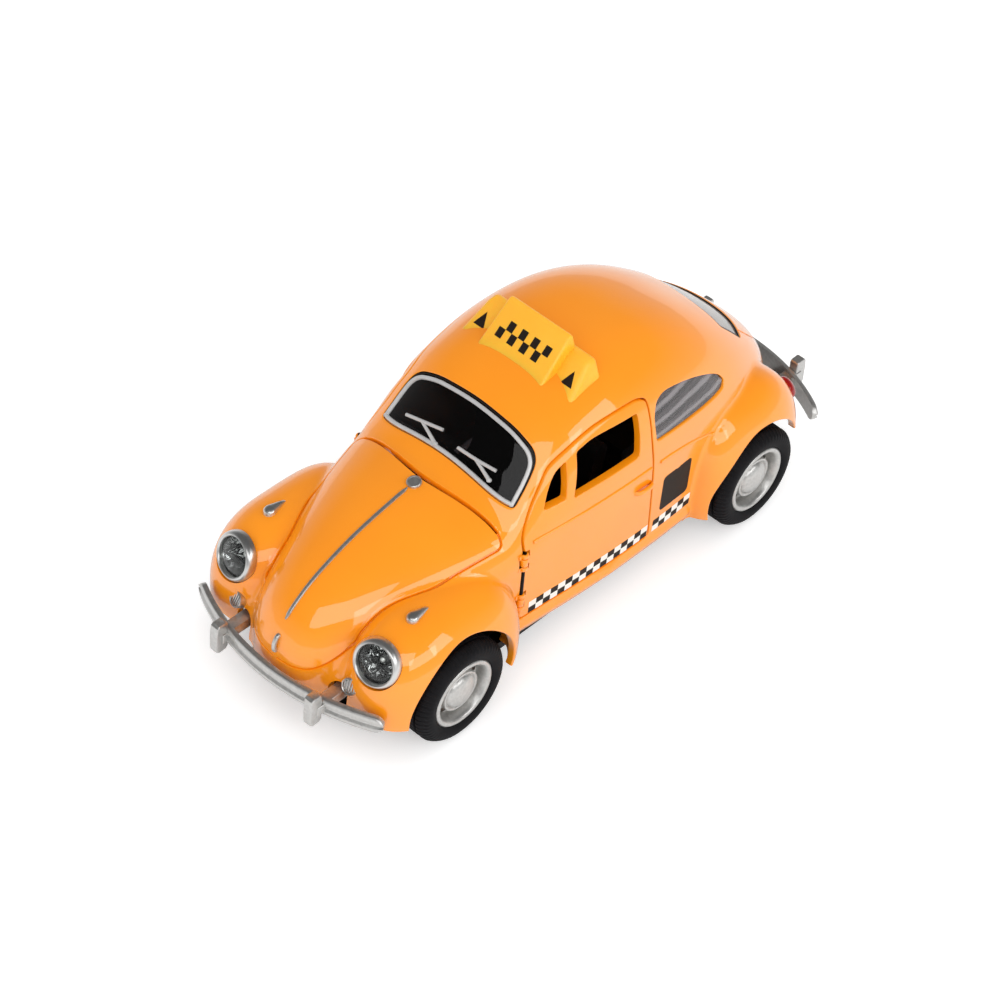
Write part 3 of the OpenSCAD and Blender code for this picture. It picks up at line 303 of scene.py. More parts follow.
def on_front(loop, depth):
    """Front outline (across, height) set on the windscreen slope, this far outside it."""
    x, z = loop.T
    return np.stack([x, skin_between(lambda y: skin(x, y, z), -2.0, -54.0, len(x)) - depth, z], 1)


def on_back(loop, depth):
    """Rear outline (across, height) set on the tail slope, this far outside it."""
    x, z = loop.T
    return np.stack([x, skin_between(lambda y: skin(x, y, z), 6.0, 53.0, len(x)) + depth, z], 1)


def ring_faces(count, n, closed=False):
    """Quads between so many rings of n points, and from the last ring to the first when closed."""
    faces = []
    for i in range(count if closed else count - 1):
        j = (i + 1) % count
        for k in range(n):
            q = (k + 1) % n
            faces.append([i*n + k, i*n + q, j*n + q, j*n + k])
    return faces


def tube_of(loops, name="tool"):
    """A closed tube through equal loops of points, with flat ends."""
    n = len(loops[0])
    ends = [list(range(n)), list(range(len(loops)*n - n, len(loops)*n))]
    return shape_from(name, np.vstack(loops), ends + ring_faces(len(loops), n))


# offset and depth of a rounded lip, in parts of its radius, from the wall out past the skin
LIP = ((0, -1), (0.05, -0.69), (0.18, -0.43), (0.36, -0.23), (0.577, -0.094), (0.778, 0), (1.9, 0.52))


def opening(loop, place, reach, lip, sign=1):
    """A tool whose wall is the outline and flares at the skin into a rounded lip."""
    flare = [place(grown(loop, sign*lip*a), lip*b) for a, b in LIP]
    clear = flare[-1] + (place(loop, 9) - place(loop, 0))
    return tube_of([place(loop, -reach)] + flare + [clear])


def twin(obj):
    """A copy with a mesh of its own."""
    other = obj.copy()
    other.data = obj.data.copy()
    bpy.context.collection.objects.link(other)
    return other


def both_hands(obj):
    """A shape and its mirrored copy for the car's right side."""
    other = twin(obj)
    other.data.transform(Matrix.Scale(-1, 4, (1, 0, 0)))
    other.data.flip_normals()
    return [obj, other]


def sweep(path, normals, profile, closed=False, name="tool"):
    """A bar of this profile (sideways, outwards) along a path that lies on the skin."""
    path = np.asarray(path, float)
    along = np.gradient(path, axis=0)
    if closed:
        along = np.roll(path, -1, 0) - np.roll(path, 1, 0)
    along /= np.linalg.norm(along, axis=1, keepdims=True)
    side = np.cross(along, normals)
    side /= np.linalg.norm(side, axis=1, keepdims=True)
    profile = np.asarray(profile, float)
    if profile.ndim == 2:
        profile = np.repeat(profile[None], len(path), 0)
    rings = path[:, None] + profile[..., :1]*side[:, None] + profile[..., 1:]*np.asarray(normals)[:, None]
    n = profile.shape[1]
    faces = ring_faces(len(path), n, closed)
    if not closed:
        faces += [list(range(n)), list(range((len(path) - 1)*n, len(path)*n))]
    return shape_from(name, rings.reshape(-1, 3), faces)


# a crease in degrees, how near the skin a point is on it, and how alike its face and the skin must lie
SKIN_SHARP = 38
SKIN_NEAR = 0.006
SKIN_ALIKE = 0.6


def finish_skin(obj):
    """Sets smooth normals, with the skin's own where a face lies on it, and goes over to metres."""
    mesh = obj.data
    mesh.shade_smooth()
    mesh.set_sharp_from_angle(angle=math.radians(SKIN_SHARP))
    points = np.array([v.co for v in mesh.vertices])
    on_skin = np.abs(skin(*points.T)) < SKIN_NEAR
    exact = np.zeros_like(points)
    exact[on_skin] = skin_normals(points[on_skin])
    corner = np.zeros(len(mesh.loops), int)
    mesh.loops.foreach_get("vertex_index", corner)
    normal = np.zeros(len(mesh.loops)*3)
    mesh.corner_normals.foreach_get("vector", normal)
    normal = normal.reshape(-1, 3)
    size = np.zeros(len(mesh.polygons), int)
    mesh.polygons.foreach_get("loop_total", size)
    flat = np.zeros(len(mesh.polygons)*3)
    mesh.polygons.foreach_get("normal", flat)
    flat = np.repeat(flat.reshape(-1, 3), size, axis=0)
    use = on_skin[corner] & ((flat*exact[corner]).sum(1) > SKIN_ALIKE)
    normal[use] = exact[corner][use]
    mesh.transform(Matrix.Scale(MM, 4))
    mesh.normals_split_custom_set(normal)


# the body is drawn from its foot up, inside this box
BODY_FOOT = 3
BODY_NET = (24.5, 54, 45)


def settled(points):
    """Points above the cut-off foot moved exactly onto the skin."""
    upper = points[:, 2] > BODY_FOOT + 0.6
    points[upper] = onto_skin(points[upper], rounds=2)
    return points


body = shape_from("cast_body", *symmetric_net(
    lambda x, y, z: np.maximum(skin(x, y, z), BODY_FOOT - z), settled, (0, -55, 1.5), BODY_NET, 0.5))
whole_form = twin(body)
carve(body, [shape_from("hollow", *symmetric_net(
    lambda x, y, z: np.maximum(skin(x, y, z) + WALL, BODY_FOOT - 1 - z), np.array, (0, -55, 0.5), BODY_NET,
    0.8))])
door = twin(body)


# the openings, as outlines from the side (place, height) and from the ends (across, height)
def door_loop(front):
    """The door's outline with its upright front edge at this place."""
    return smooth_loop([[front, 9.5], [front, 25], [-17.9, 27.6], [-14, 32.5], [-11.6, 34.8], [-7.5, 36.6],
                        [-2.5, 37.7], [4.8, 37.9], [6.9, 37.3], [6.7, 31], [7.4, 25], [8.7, 9.5]])


door_outline = door_loop(-19)
doorway_outline = door_loop(-19.1)
quarter_outline = smooth_loop([
    [8, 29.7], [7.9, 34], [8.9, 36], [10.8, 36.5], [14, 36], [18, 34.8], [22.1, 33], [24.8, 31.3],
    [26, 29.7], [25.2, 28.9], [23.3, 28.9]])
screen_outline = smooth_loop([
    [-13.6, 29.6], [-13.1, 33.6], [-12.5, 35.4], [-10.8, 36.9], [-6.6, 38.4], [0, 39], [6.6, 38.4],
    [10.8, 36.9], [12.5, 35.4], [13.1, 33.6], [13.6, 29.6], [6, 31.4], [0, 31.9], [-6, 31.4]])
back_outline = smooth_loop([
    [-10, 27], [-9, 31.6], [-4.5, 33.2], [0, 33.6], [4.5, 33.2], [9, 31.6], [10, 27], [5, 26.3],
    [-5, 26.3]])
DOOR_GAP = 0.3
DOOR_LIP = 0.16
PANE_LIP = 0.25
FRAME_LIP = 0.18
ARCH_LIP = 0.4
THROUGH = 8
FRONT_AXLE_Y = -35.5
REAR_AXLE_Y = 31.2
AXLE_Z = 8.9
ARCH_R = 10.5
ARCH_UP = 0.3
ARCH_IN = 13.6
ARCH_LOW = 5
FOOT_FRONT = 8.2
FOOT_FRONT_WING = 7.2
FOOT_REAR_WING = 6
FOOT_SILL = 6.4
FOOT_TAIL = 13
SILL_FRONT = -22
SILL_REAR = 18
FAR = 70

around = np.linspace(0, 2*math.pi, 120, endpoint=False)
circle = np.stack([np.cos(around), np.sin(around)], 1)
foot_outline = [
    [-FAR, -2], [-FAR, FOOT_FRONT], [FRONT_AXLE_Y, FOOT_FRONT], [FRONT_AXLE_Y, FOOT_FRONT_WING],
    [SILL_FRONT, FOOT_FRONT_WING], [SILL_FRONT, FOOT_SILL], [SILL_REAR, FOOT_SILL],
    [SILL_REAR, FOOT_REAR_WING], [REAR_AXLE_Y, FOOT_REAR_WING], [REAR_AXLE_Y, FOOT_TAIL], [FAR, FOOT_TAIL],
    [FAR, -2]]
carve(body, [tube_of([[(x, y, z) for y, z in foot_outline] for x in (-40, 40)])])
carve(body, both_hands(opening(grown(doorway_outline, DOOR_GAP), on_side, THROUGH, DOOR_LIP)))
carve(body, both_hands(opening(quarter_outline, on_side, THROUGH, PANE_LIP)))
for outline, place in ((screen_outline, on_front), (back_outline, on_back)):
    carve(body, [opening(outline, place, THROUGH, PANE_LIP)])
for axle_y in (FRONT_AXLE_Y, REAR_AXLE_Y):
    arch = circle*ARCH_R + [axle_y, AXLE_Z + ARCH_UP]
    arch[:, 1] = np.maximum(arch[:, 1], ARCH_LOW)
    deep = np.column_stack([np.full(len(arch), ARCH_IN), arch])
    flare = [on_side(grown(arch, ARCH_LIP*a), ARCH_LIP*b) for a, b in LIP]
    carve(body, both_hands(tube_of([deep] + flare + [flare[-1] + [9, 0, 0]])))


def axis_at(place, tilt, turn):
    """A frame whose third axis leans from straight up by tilt towards the front, then turns outwards."""
    return (Matrix.Translation(place) @ Matrix.Rotation(math.radians(turn), 4, "Z")
            @ Matrix.Rotation(math.radians(tilt), 4, "X"))


def round_bar(axis, radius, low, high):
    """A plain round bar along an axis, for cutting."""
    bar = tube_of([np.column_stack([circle*radius, np.full(len(circle), h)]) for h in (low, high)])
    bar.data.transform(axis)
    return bar


headlamp_axis = axis_at((14.6, -46.6, 18.4), 70, 9)
tail_axis = axis_at((16, 41.9, 17.3), -64, -24)
LAMP_R = 3.95
LEDGE_R = 3.45
TAIL_R = 1.9
NEST = 0.04
carve(body, both_hands(round_bar(headlamp_axis, LEDGE_R, -4, 8)))
carve(body, both_hands(round_bar(headlamp_axis, LAMP_R + NEST, 0, 8)))
carve(body, both_hands(round_bar(tail_axis, TAIL_R + NEST, 0, 6)))
# arched notches, open below, that the bumper brackets pass through
BRACKET_X = 9.9
BRACKET_FRONT_Z = 10.7
BRACKET_REAR_Z = 9.3
NOTCH_R = 1.7
arch_top = [[NOTCH_R*math.cos(a), NOTCH_R*math.sin(a)] for a in np.linspace(0, math.pi, 17)]
notch = np.vstack([[[-NOTCH_R, -4], [NOTCH_R, -4]], arch_top])
for low, high, height in ((-57, -42.3, BRACKET_FRONT_Z), (42.3, 57, BRACKET_REAR_Z)):
    ends = [[(BRACKET_X + u, y, height + v) for u, v in notch] for y in (low, high)]
    carve(body, both_hands(tube_of(ends)))


def path_on_skin(points, spacing=0.4):
    """An evenly spaced path through these points, set on the skin, with the skin's normals."""
    dense = curve_through(np.array(points, float), 24)
    way = np.concatenate([[0], np.cumsum(np.linalg.norm(np.diff(dense, axis=0), axis=1))])
    even = np.linspace(0, way[-1], int(way[-1]/spacing) + 1)
    path = onto_skin(np.stack([np.interp(even, way, dense[:, k]) for k in range(3)], 1), rounds=8)
    return path, skin_normals(path)


def crown_height(x, y):
    """Height of the bonnet, roof or tail at a place seen from above."""
    top, half, waist, roundness = [np.interp(y, hull_rows[:, 0], hull_rows[:, k]) for k in (1, 2, 3, 4)]
    return waist + (top - waist)*(1 - np.clip(np.abs(x)/half, 0, 1)**roundness)**(1/roundness)


def on_crown(places):
    """Places seen from above (across, along), with their height on the crown."""
    return [(x, y, crown_height(x, y)) for x, y in places]


def oval(across, high, steps):
    """Points round an oval."""
    turn = np.linspace(0, 2*math.pi, steps, endpoint=False)
    return np.array([[across*math.cos(a), high*math.sin(a)] for a in turn])


def facing(place, normal):
    """A frame at a place with its third axis along a normal."""
    return Matrix.Translation(place) @ Vector(normal).to_track_quat("Z", "Y").to_matrix().to_4x4()


def groove_profile(half, depth):
    """Section of a cut groove with soft shoulders."""
    return [[-half - 0.42, 0.2], [-half - 0.08, 0], [-half, -0.12], [-half*0.8, -depth], [half*0.8, -depth],
            [half, -0.12], [half + 0.08, 0], [half + 0.42, 0.2]]


cowl_edge = [[-13.8, -21.8], [-12, -22], [-9.6, -22.4], [-7, -22.9], [-3.5, -23.5], [0, -23.8], [3.5, -23.5],
             [7, -22.9], [9.6, -22.4], [12, -22], [13.8, -21.8]]
bonnet_edge = [[12.6, -21.9], [13.8, -21.8], [14.9, -22.1], [15.2, -22.8], [14.9, -24.4], [13.4, -31],
               [11.8, -37.6], [9.9, -43.8], [8.4, -48.3], [7.3, -50.2], [5.6, -51.9]]
lid_edge = [[-3.4, 49.8], [-5.8, 47.4], [-7.8, 43], [-8, 39], [-7, 37.2], [-4, 36.4], [0, 36.2], [4, 36.4],
            [7, 37.2], [8, 39], [7.8, 43], [5.8, 47.4], [3.4, 49.8]]
cowl_path, cowl_normals = path_on_skin(on_crown(cowl_edge))
cowl_half = 0.2 + 0.2*np.clip(1 - np.abs(cowl_path[:, 0])/13.5, 0, 1)**0.6
carve(body, [sweep(cowl_path, cowl_normals, [groove_profile(h, 1.5) for h in cowl_half])])
nose = [(2.9, -53, 12.95), (0.3, -53.2, 12.8)]
crease = groove_profile(0.16, 0.5)
carve(body, both_hands(sweep(*path_on_skin(on_crown(bonnet_edge) + nose), crease)))
carve(body, [sweep(*path_on_skin(on_crown(lid_edge)), crease)])


def turned(profile, axis, name="part", steps=64):
    """A part turned on an axis from (radius, height) points, closed on the axis or round a ring."""
    turn = np.linspace(0, 2*math.pi, steps, endpoint=False)
    points = [(r*math.cos(a), r*math.sin(a), h) for r, h in profile for a in turn]
    part = shape_from(name, points, ring_faces(len(profile), steps, profile[0][0] != 0))
    part.data.transform(axis)
    return part


def joined(obj, others):
    """Makes other shapes part of obj."""
    bm = bmesh.new()
    bm.from_mesh(obj.data)
    for other in others:
        bm.from_mesh(other.data)
        bpy.data.objects.remove(other)
    bm.to_mesh(obj.data)
    bm.free()
    return obj


# at each hinge one knuckle of the door turns between two of the body, in pockets cut for them
HINGE_X = 17.1938
HINGE_Y = -19.25
HINGE_Z = (13.5, 22)
BODY_KNUCKLE = 0.8
DOOR_KNUCKLE = 1.5
KNUCKLE_STEP = 1.3


def knuckle(middle, height):
    """One rounded hinge knuckle on the upright hinge line."""
    h = height/2
    profile = [(0, -h), (0.5, -h), (0.6, -h + 0.06), (0.66, -h + 0.18), (0.66, h - 0.18), (0.6, h - 0.06),
               (0.5, h), (0, h)]
    return turned(profile, Matrix.Translation((HINGE_X, HINGE_Y, middle)), steps=32)


def leaf(y0, y1, middle, height):
    """The flat web that carries a knuckle."""
    h = height/2
    edge = [(HINGE_X - 0.9, -h), (HINGE_X + 0.1, -h), (HINGE_X + 0.1, h), (HINGE_X - 0.9, h)]
    return tube_of([[(x, y, middle + z) for x, z in edge] for y in (y0, y1)])


body_hinge = []
for middle in HINGE_Z:
    for side in (-1, 1):
        body_hinge.append(knuckle(middle + side*KNUCKLE_STEP, BODY_KNUCKLE))
        body_hinge.append(leaf(HINGE_Y - 1.1, HINGE_Y, middle + side*KNUCKLE_STEP, BODY_KNUCKLE))
bead_profile = oval(0.36, 0.34, 16) - [0, 0.1]
rear_bead = [(18, y, z) for y, z in ((9.2, 24.95), (12, 24.8), (16, 24.2), (19.5, 23.2), (22.6, 22))]
body_bead = sweep(*path_on_skin(rear_bead), bead_profile)
for middle in HINGE_Z:
    pocket = Matrix.Translation((HINGE_X, HINGE_Y, middle))
    carve(body, both_hands(round_bar(pocket, 1.0, -0.9, 0.9)))
joined(body, [half for part in body_hinge + [body_bead] for half in both_hands(part)])
finish_skin(body)


def linear(hex_code):
    """An sRGB hex value as linear colour."""
    parts = [int(hex_code[k:k + 2], 16)/255 for k in (1, 3, 5)]
    return tuple(c/12.92 if c <= 0.04045 else ((c + 0.055)/1.055)**2.4 for c in parts) + (1,)


def add(tree, kind, sockets=None, **settings):
    """Adds a node: settings are its own, sockets are values or other nodes' outputs."""
    made = tree.nodes.new(kind)
    for key, value in settings.items():
        setattr(made, key, value)
    for key, value in (sockets or {}).items():
        if isinstance(value, bpy.types.NodeSocket):
            tree.links.new(value, made.inputs[key])
        else:
            made.inputs[key].default_value = value
    return made


def material(name, **values):
    """A new material with these values on its shader."""
    made = bpy.data.materials.new(name)
    made.use_nodes = True
    surface = made.node_tree.nodes["Principled BSDF"]
    for key, value in values.items():
        surface.inputs[key.replace("_", " ")].default_value = value
    return made, made.node_tree, surface


def mottled(name, patch, detail, dark, light, dull=None, **values):
    """A material whose tone drifts between two colours in patches of so many millimetres, and its roughness
    with it where dull gives two limits."""
    made, tree, surface = material(name, **values)
    where = add(tree, "ShaderNodeTexCoord").outputs["Object"]
    noise = add(tree, "ShaderNodeTexNoise", {"Vector": where, "Scale": 1/(patch*MM), "Detail": detail})
    drift = noise.outputs["Fac"]
    tone = add(tree, "ShaderNodeMix", {"Factor": drift, "A": dark, "B": light}, data_type="RGBA")
    tree.links.new(tone.outputs["Result"], surface.inputs["Base Color"])
    if dull:
        spread = add(tree, "ShaderNodeMapRange", {"Value": drift, "To Min": dull[0], "To Max": dull[1]})
        tree.links.new(spread.outputs["Result"], surface.inputs["Roughness"])
    return made


def embossed(made, grain, detail, strength, depth, socket="Normal"):
    """Gives a material a fine relief, its grain and depth in millimetres."""
    tree = made.node_tree
    where = add(tree, "ShaderNodeTexCoord").outputs["Object"]
    noise = add(tree, "ShaderNodeTexNoise", {"Vector": where, "Scale": 1/(grain*MM), "Detail": detail})
    bump = add(tree, "ShaderNodeBump", {"Height": noise.outputs["Fac"], "Strength": strength,
                                        "Distance": depth*MM})
    tree.links.new(bump.outputs["Normal"], tree.nodes["Principled BSDF"].inputs[socket])


# gloss stoving enamel: a warm yellow-orange under a hard clear film, wet-looking, with a faint
# orange peel about 0.9 mm across and slight drifts of tone where the spray lay thicker
enamel = mottled("gloss_enamel", 9, 3, linear("#FA9104"), linear("#FF990C"), Roughness=0.4,
                 Specular_IOR_Level=0.2, Coat_Weight=1.0, Coat_IOR=1.75, Coat_Roughness=0.03)
embossed(enamel, 0.9, 1, 0.02, 0.05, "Coat Normal")


def fitted(obj, coat, ride_on, *nodes):
    """Gives a finished piece its material, its moving body and the solids it stands for."""
    obj.data.materials.clear()
    obj.data.materials.append(coat)
    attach(obj, ride_on)
    if nodes:
        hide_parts(*nodes)
    return obj


fitted(body, enamel, "body", "body_shell")

# Doors. Two zinc castings in the same enamel, each with two empty window frames, a raised waist bead
# and a lever, hung on steel pins through the knuckles at its front edge.
vent_outline = smooth_loop([[-14.9, 29.1], [-13.5, 31.6], [-11.6, 33.8], [-9.6, 34.9], [-11, 29.4]],
                           blur=0.25)
main_outline = smooth_loop([[-9.6, 29], [-7.6, 35.6], [-4, 36.4], [4.6, 36.4], [4, 29.2]], blur=0.3)
carve(door, [opening(door_outline, on_side, 6, DOOR_LIP, sign=-1)], "INTERSECT")
for outline in (vent_outline, main_outline):
    carve(door, [opening(outline, on_side, THROUGH, FRAME_LIP)])
door_hinge = []
for middle in HINGE_Z:
    for side in (-1, 1):
        pocket = Matrix.Translation((HINGE_X, HINGE_Y, middle + side*KNUCKLE_STEP))
        carve(door, [round_bar(pocket, 1.05, -0.55, 0.55)])
    door_hinge.append(knuckle(middle, DOOR_KNUCKLE))
    door_hinge.append(leaf(HINGE_Y, HINGE_Y + 1.4, middle, DOOR_KNUCKLE))
door_bead = sweep(*path_on_skin([(18, y, 25) for y in (-17.6, -10, -2, 7.1)]), bead_profile)
lever_path = []
for y, out in ((3.6, -0.35), (4.0, 0.15), (4.6, 0.5), (5.6, 0.58), (6.6, 0.55), (7.2, 0.42), (7.7, 0.15)):
    lever_path.append(on_side(np.array([[y, 21.7]]), out)[0])
lever_path = curve_through(np.array(lever_path), 5)
swell = np.clip(np.linspace(0, 6, len(lever_path)), 0, 1)**0.3
taper = np.clip(np.linspace(8, 0.05, len(lever_path)), 0, 1)**0.5
lever_profile = [oval(0.5*t, 0.38*t, 14) for t in np.clip(swell*taper, 0.35, 1)]
lever = sweep(lever_path, np.tile([1.0, 0, 0], (len(lever_path), 1)), lever_profile)
joined(door, door_hinge + [door_bead, lever])
for obj, side in zip(both_hands(door), ("left", "right")):
    obj.name = side + "_door_casting"
    finish_skin(obj)
    fitted(obj, enamel, side + "_door", "door_" + side)


def finish(obj, sharp=35):
    """Smooth shading with crisp edges kept, and over to metres."""
    obj.data.shade_smooth()
    obj.data.set_sharp_from_angle(angle=math.radians(sharp))
    obj.data.transform(Matrix.Scale(MM, 4))
    return obj


def soften(obj, width, over=30):
    """Rounds every edge that is sharper than this angle."""
    bm = bmesh.new()
    bm.from_mesh(obj.data)
    edges = [e for e in bm.edges if len(e.link_faces) == 2 and e.calc_face_angle(0) > math.radians(over)]
    bmesh.ops.bevel(bm, geom=edges, offset=width, segments=3, profile=0.5, affect="EDGES", clamp_overlap=True)
    bm.to_mesh(obj.data)
    bm.free()
    return obj


def pair(obj, name, coat, ride_on="body", solid=None):
    """Finishes a left part and its mirrored right one. The side's word fills the gap in each name."""
    for each, side in zip(both_hands(obj), ("left", "right")):
        each.name = name.format(side)
        stands_for = [solid.format(side)] if solid else []
        fitted(finish(each), coat, ride_on.format(side), *stands_for)


# Printing on the sides. Two rows of black and white checks along the bottom of each door and on the
# quarter behind it, and a plain dark square above them. Ink pad-printed on the enamel, matt and thin.
CHECK_LOW = 9.6
CHECK_ROW = 1.2
CHECK_LONG = 1.5
LIFT = 0.02


def ink_patch(loop, place, rings=4):
    """A thin closed layer of ink inside an outline, following the surface below it."""
    loop = np.asarray(loop, float)
    middle = loop.mean(0)
    loops = [place(loop, -0.08)]
    loops += [place(middle + (loop - middle)*s, LIFT) for s in np.linspace(1, 0.04, rings)]
    return tube_of(loops, "ink")


def box_loop(u0, u1, v0, v1, corner=0.0):
    """Outline of a square with its corners rounded."""
    if corner == 0:
        side = np.linspace(0, 1, 4, endpoint=False)[:, None]
        ends = np.array([[u0, v0], [u1, v0], [u1, v1], [u0, v1]])
        return np.vstack([ends[k] + side*(ends[(k + 1) % 4] - ends[k]) for k in range(4)])
    loop = []
    for u, v, start in ((u1 - corner, v1 - corner, 0), (u0 + corner, v1 - corner, 1),
                        (u0 + corner, v0 + corner, 2), (u1 - corner, v0 + corner, 3)):
        for a in np.linspace(start*math.pi/2, (start + 1)*math.pi/2, 6):
            loop.append((u + corner*math.cos(a), v + corner*math.sin(a)))
    return np.array(loop)


def check_band(y0, y1, first):
    """Black squares and the white strip under them, from y0 to y1."""
    black, white = [], []
    count = round((y1 - y0)/CHECK_LONG)
    step = (y1 - y0)/count
    for k in range(count):
        for row in (0, 1):
            v = CHECK_LOW + row*CHECK_ROW
            square = ink_patch(box_loop(y0 + k*step, y0 + (k + 1)*step, v, v + CHECK_ROW), on_side, rings=3)
            (black if (k + row + first) % 2 == 0 else white).append(square)
    return joined(black[0], black[1:]), joined(white[0], white[1:])


# printing ink: matt, a dense brownish black and a slightly warm white, with a fine dot grain
black_ink = mottled("black_printing_ink", 0.35, 2, linear("#17120E"), linear("#2A211A"), Roughness=0.55,
                    Specular_IOR_Level=0.2)
white_ink = mottled("white_printing_ink", 0.35, 2, linear("#E9E4DB"), linear("#F4F1EA"), Roughness=0.5)

door_black, door_white = check_band(-17.2, 8.3, 0)
pair(door_black, "{}_door_checks_black", black_ink, "{}_door")
pair(door_white, "{}_door_checks_white", white_ink, "{}_door")
side_black, side_white = check_band(9.6, 18.6, 1)
square_panel = ink_patch(box_loop(10.7, 17.5, 13.3, 20.6, 0.8), on_side, rings=7)
joined(side_black, [square_panel])
pair(side_black, "{}_side_checks_black", black_ink)
pair(side_white, "{}_side_checks_white", white_ink)

# Windows. One clear polystyrene moulding under the roof, whose thick panes stand in the openings
# of the windscreen, the rear window and the quarters. The doors have none.
PANE_SET = 0.35
PANE_THICK = 1.2
PANE_LOW = 25
PANE_FRONT = -24
PANE_REAR = 41


def at_pane(points):
    """Points moved to the outer face of the panes."""
    upper = points[:, 2] > PANE_LOW + 0.8
    points[upper] = onto_skin(points[upper], -PANE_SET, 2)
    return points


def pane_field(depth, more):
    """Below zero this deep inside the skin, above the waist and between the ends, all let out by more."""
    return lambda x, y, z: np.maximum.reduce([skin(x, y, z) + depth, PANE_LOW - more - z,
                                              PANE_FRONT - more - y, y - PANE_REAR - more])


pane_form = shape_from("pane_form", *symmetric_net(
    pane_field(PANE_SET, 0), at_pane, (0, -25.5, 23.5), (20, 43, 44), 0.6))
carve(pane_form, [shape_from("pane_back", *symmetric_net(
    pane_field(PANE_SET + PANE_THICK, 1), np.array, (0, -27, 22), (20, 44, 44), 0.8))])
# clear polystyrene, for the headlamp lenses: hard gloss, a trace of grey, long flow streaks of moulding
clear_plastic, tree, surface = material("clear_polystyrene", Base_Color=linear("#F3F6F4"), Roughness=0.03,
                                        IOR=1.36, Transmission_Weight=1.0)
where = add(tree, "ShaderNodeTexCoord").outputs["Object"]
stretch = add(tree, "ShaderNodeMapping", {"Vector": where, "Scale": (1, 0.12, 1)})
flow = add(tree, "ShaderNodeTexNoise", {"Vector": stretch.outputs["Vector"], "Scale": 1/(1.6*MM),
                                        "Detail": 1})
streak = add(tree, "ShaderNodeBump", {"Height": flow.outputs["Fac"], "Strength": 0.12, "Distance": 0.12*MM})
tree.links.new(streak.outputs["Normal"], surface.inputs["Normal"])
# the same plastic in the windscreen, tinted dark as painted shade of the dark inside seen through it
shade_tinted_plastic = mottled("smoked_polystyrene", 4, 1, linear("#2E2A2D"), linear("#3A3639"), Roughness=0.03,
                         IOR=1.36, Transmission_Weight=1.0)
# in the quarter windows, paler, with level bright streaks: both are painted reflection of the ribbed pane
reflection_streaked_plastic, tree, surface = material("streaked_polystyrene", Base_Color=linear("#B4AEB0"),
                                           Roughness=0.12, IOR=1.5)
where = add(tree, "ShaderNodeTexCoord").outputs["Object"]
# level bands where the pane is less clear and shows its pale colour: painted reflection streaks
rows = add(tree, "ShaderNodeTexWave", {"Vector": where, "Scale": 0.314/(2.4*MM), "Distortion": 3, "Detail": 2,
                                       "Detail Scale": 0.6}, bands_direction="Z")
clear = add(tree, "ShaderNodeMapRange", {"Value": rows.outputs["Fac"], "From Min": 0.55, "From Max": 0.95,
                                         "To Min": 0.93, "To Max": 0.55})
tree.links.new(clear.outputs["Result"], surface.inputs["Transmission Weight"])
# and, in the rear window, an even pale haze that is painted reflection
reflection_hazed_plastic = mottled("hazed_polystyrene", 6, 1, linear("#C9C6C4"), linear("#DEDAD6"), Roughness=0.1,
                        IOR=1.5, Transmission_Weight=0.7)


def pane(names, outline, place):
    """The part of the clear moulding that fills one opening, or two alike."""
    loop = grown(outline, -0.12)
    tools = [tube_of([place(loop, -9), place(loop, 9)])]
    if len(names) == 2:
        tools = both_hands(tools[0])
    for k, tool in enumerate(tools):
        piece = twin(pane_form)
        piece.name = names[k]
        carve(piece, [tool], "INTERSECT")
        finish(piece, 40)
        yield piece


windscreen, = pane(["windscreen"], screen_outline, on_front)
rear_window, = pane(["rear_window"], back_outline, on_back)
quarter_windows = list(pane(["left_quarter_window", "right_quarter_window"], quarter_outline, on_side))
fitted(windscreen, shade_tinted_plastic, "body", "window_insert")
fitted(rear_window, reflection_hazed_plastic, "body")
for obj in quarter_windows:
    fitted(obj, reflection_streaked_plastic, "body")
bpy.data.objects.remove(pane_form)

# Windscreen rim, wipers and rear seal. The rim is raised on the moulding and painted silver with a
# black line round it; the two wipers are moulded on and silvered; the rear window has a dark seal.
silver_paint = mottled("silver_paint", 1.2, 4, linear("#BDBCBC"), linear("#DAD9D8"), Metallic=0.3,
                       Roughness=0.4)


def around_on(outline, place, inset):
    """A closed path on the skin inside an outline, with the skin's normals."""
    path = onto_skin(place(grown(outline, -inset), 0))
    return path, skin_normals(path)


rim_profile = [[-0.32, -0.6], [-0.32, -0.1], [-0.24, 0.02], [-0.1, 0.07], [0.1, 0.07], [0.24, 0.02],
               [0.32, -0.1], [0.32, -0.6]]
rim = sweep(*around_on(screen_outline, on_front, 0.44), rim_profile, closed=True, name="windscreen_rim")
line_profile = [[-0.12, -0.6], [-0.12, -0.12], [0.12, -0.12], [0.12, -0.6]]
line = sweep(*around_on(screen_outline, on_front, 0.06), line_profile, closed=True, name="windscreen_line")
seal_profile = [[-0.2, -0.6], [-0.2, -0.15], [0.2, -0.15], [0.2, -0.6]]
seal = sweep(*around_on(back_outline, on_back, 0.24), seal_profile, closed=True, name="rear_window_seal")
for obj, coat in ((rim, silver_paint), (line, black_ink), (seal, black_ink)):
    fitted(finish(obj), coat, "body")


def wiper(blade_line, foot, name):
    """One wiper: a thin blade through three places on the glass and an arm from its middle to its foot."""
    middle = blade_line[1]
    half_way = ((middle[0] + foot[0])/2, (middle[1] + foot[1])/2)
    bar = oval(1, 1, 10)
    arm = path_on_skin(on_crown((foot, half_way, middle)), 0.3)
    blade = path_on_skin(on_crown(blade_line), 0.3)
    thin = np.linspace(0.32, 0.24, len(arm[0]))
    arm_bar = sweep(arm[0] - 0.1*arm[1], arm[1], bar[None]*thin[:, None, None])
    blade_bar = sweep(blade[0] - 0.15*blade[1], blade[1], bar*[0.28, 0.3], name=name)
    boss = turned([(0, -0.5), (0.36, -0.5), (0.36, 0.1), (0.28, 0.24), (0, 0.3)],
                  facing(arm[0][0], arm[1][0]), steps=24)
    return joined(blade_bar, [arm_bar, boss])


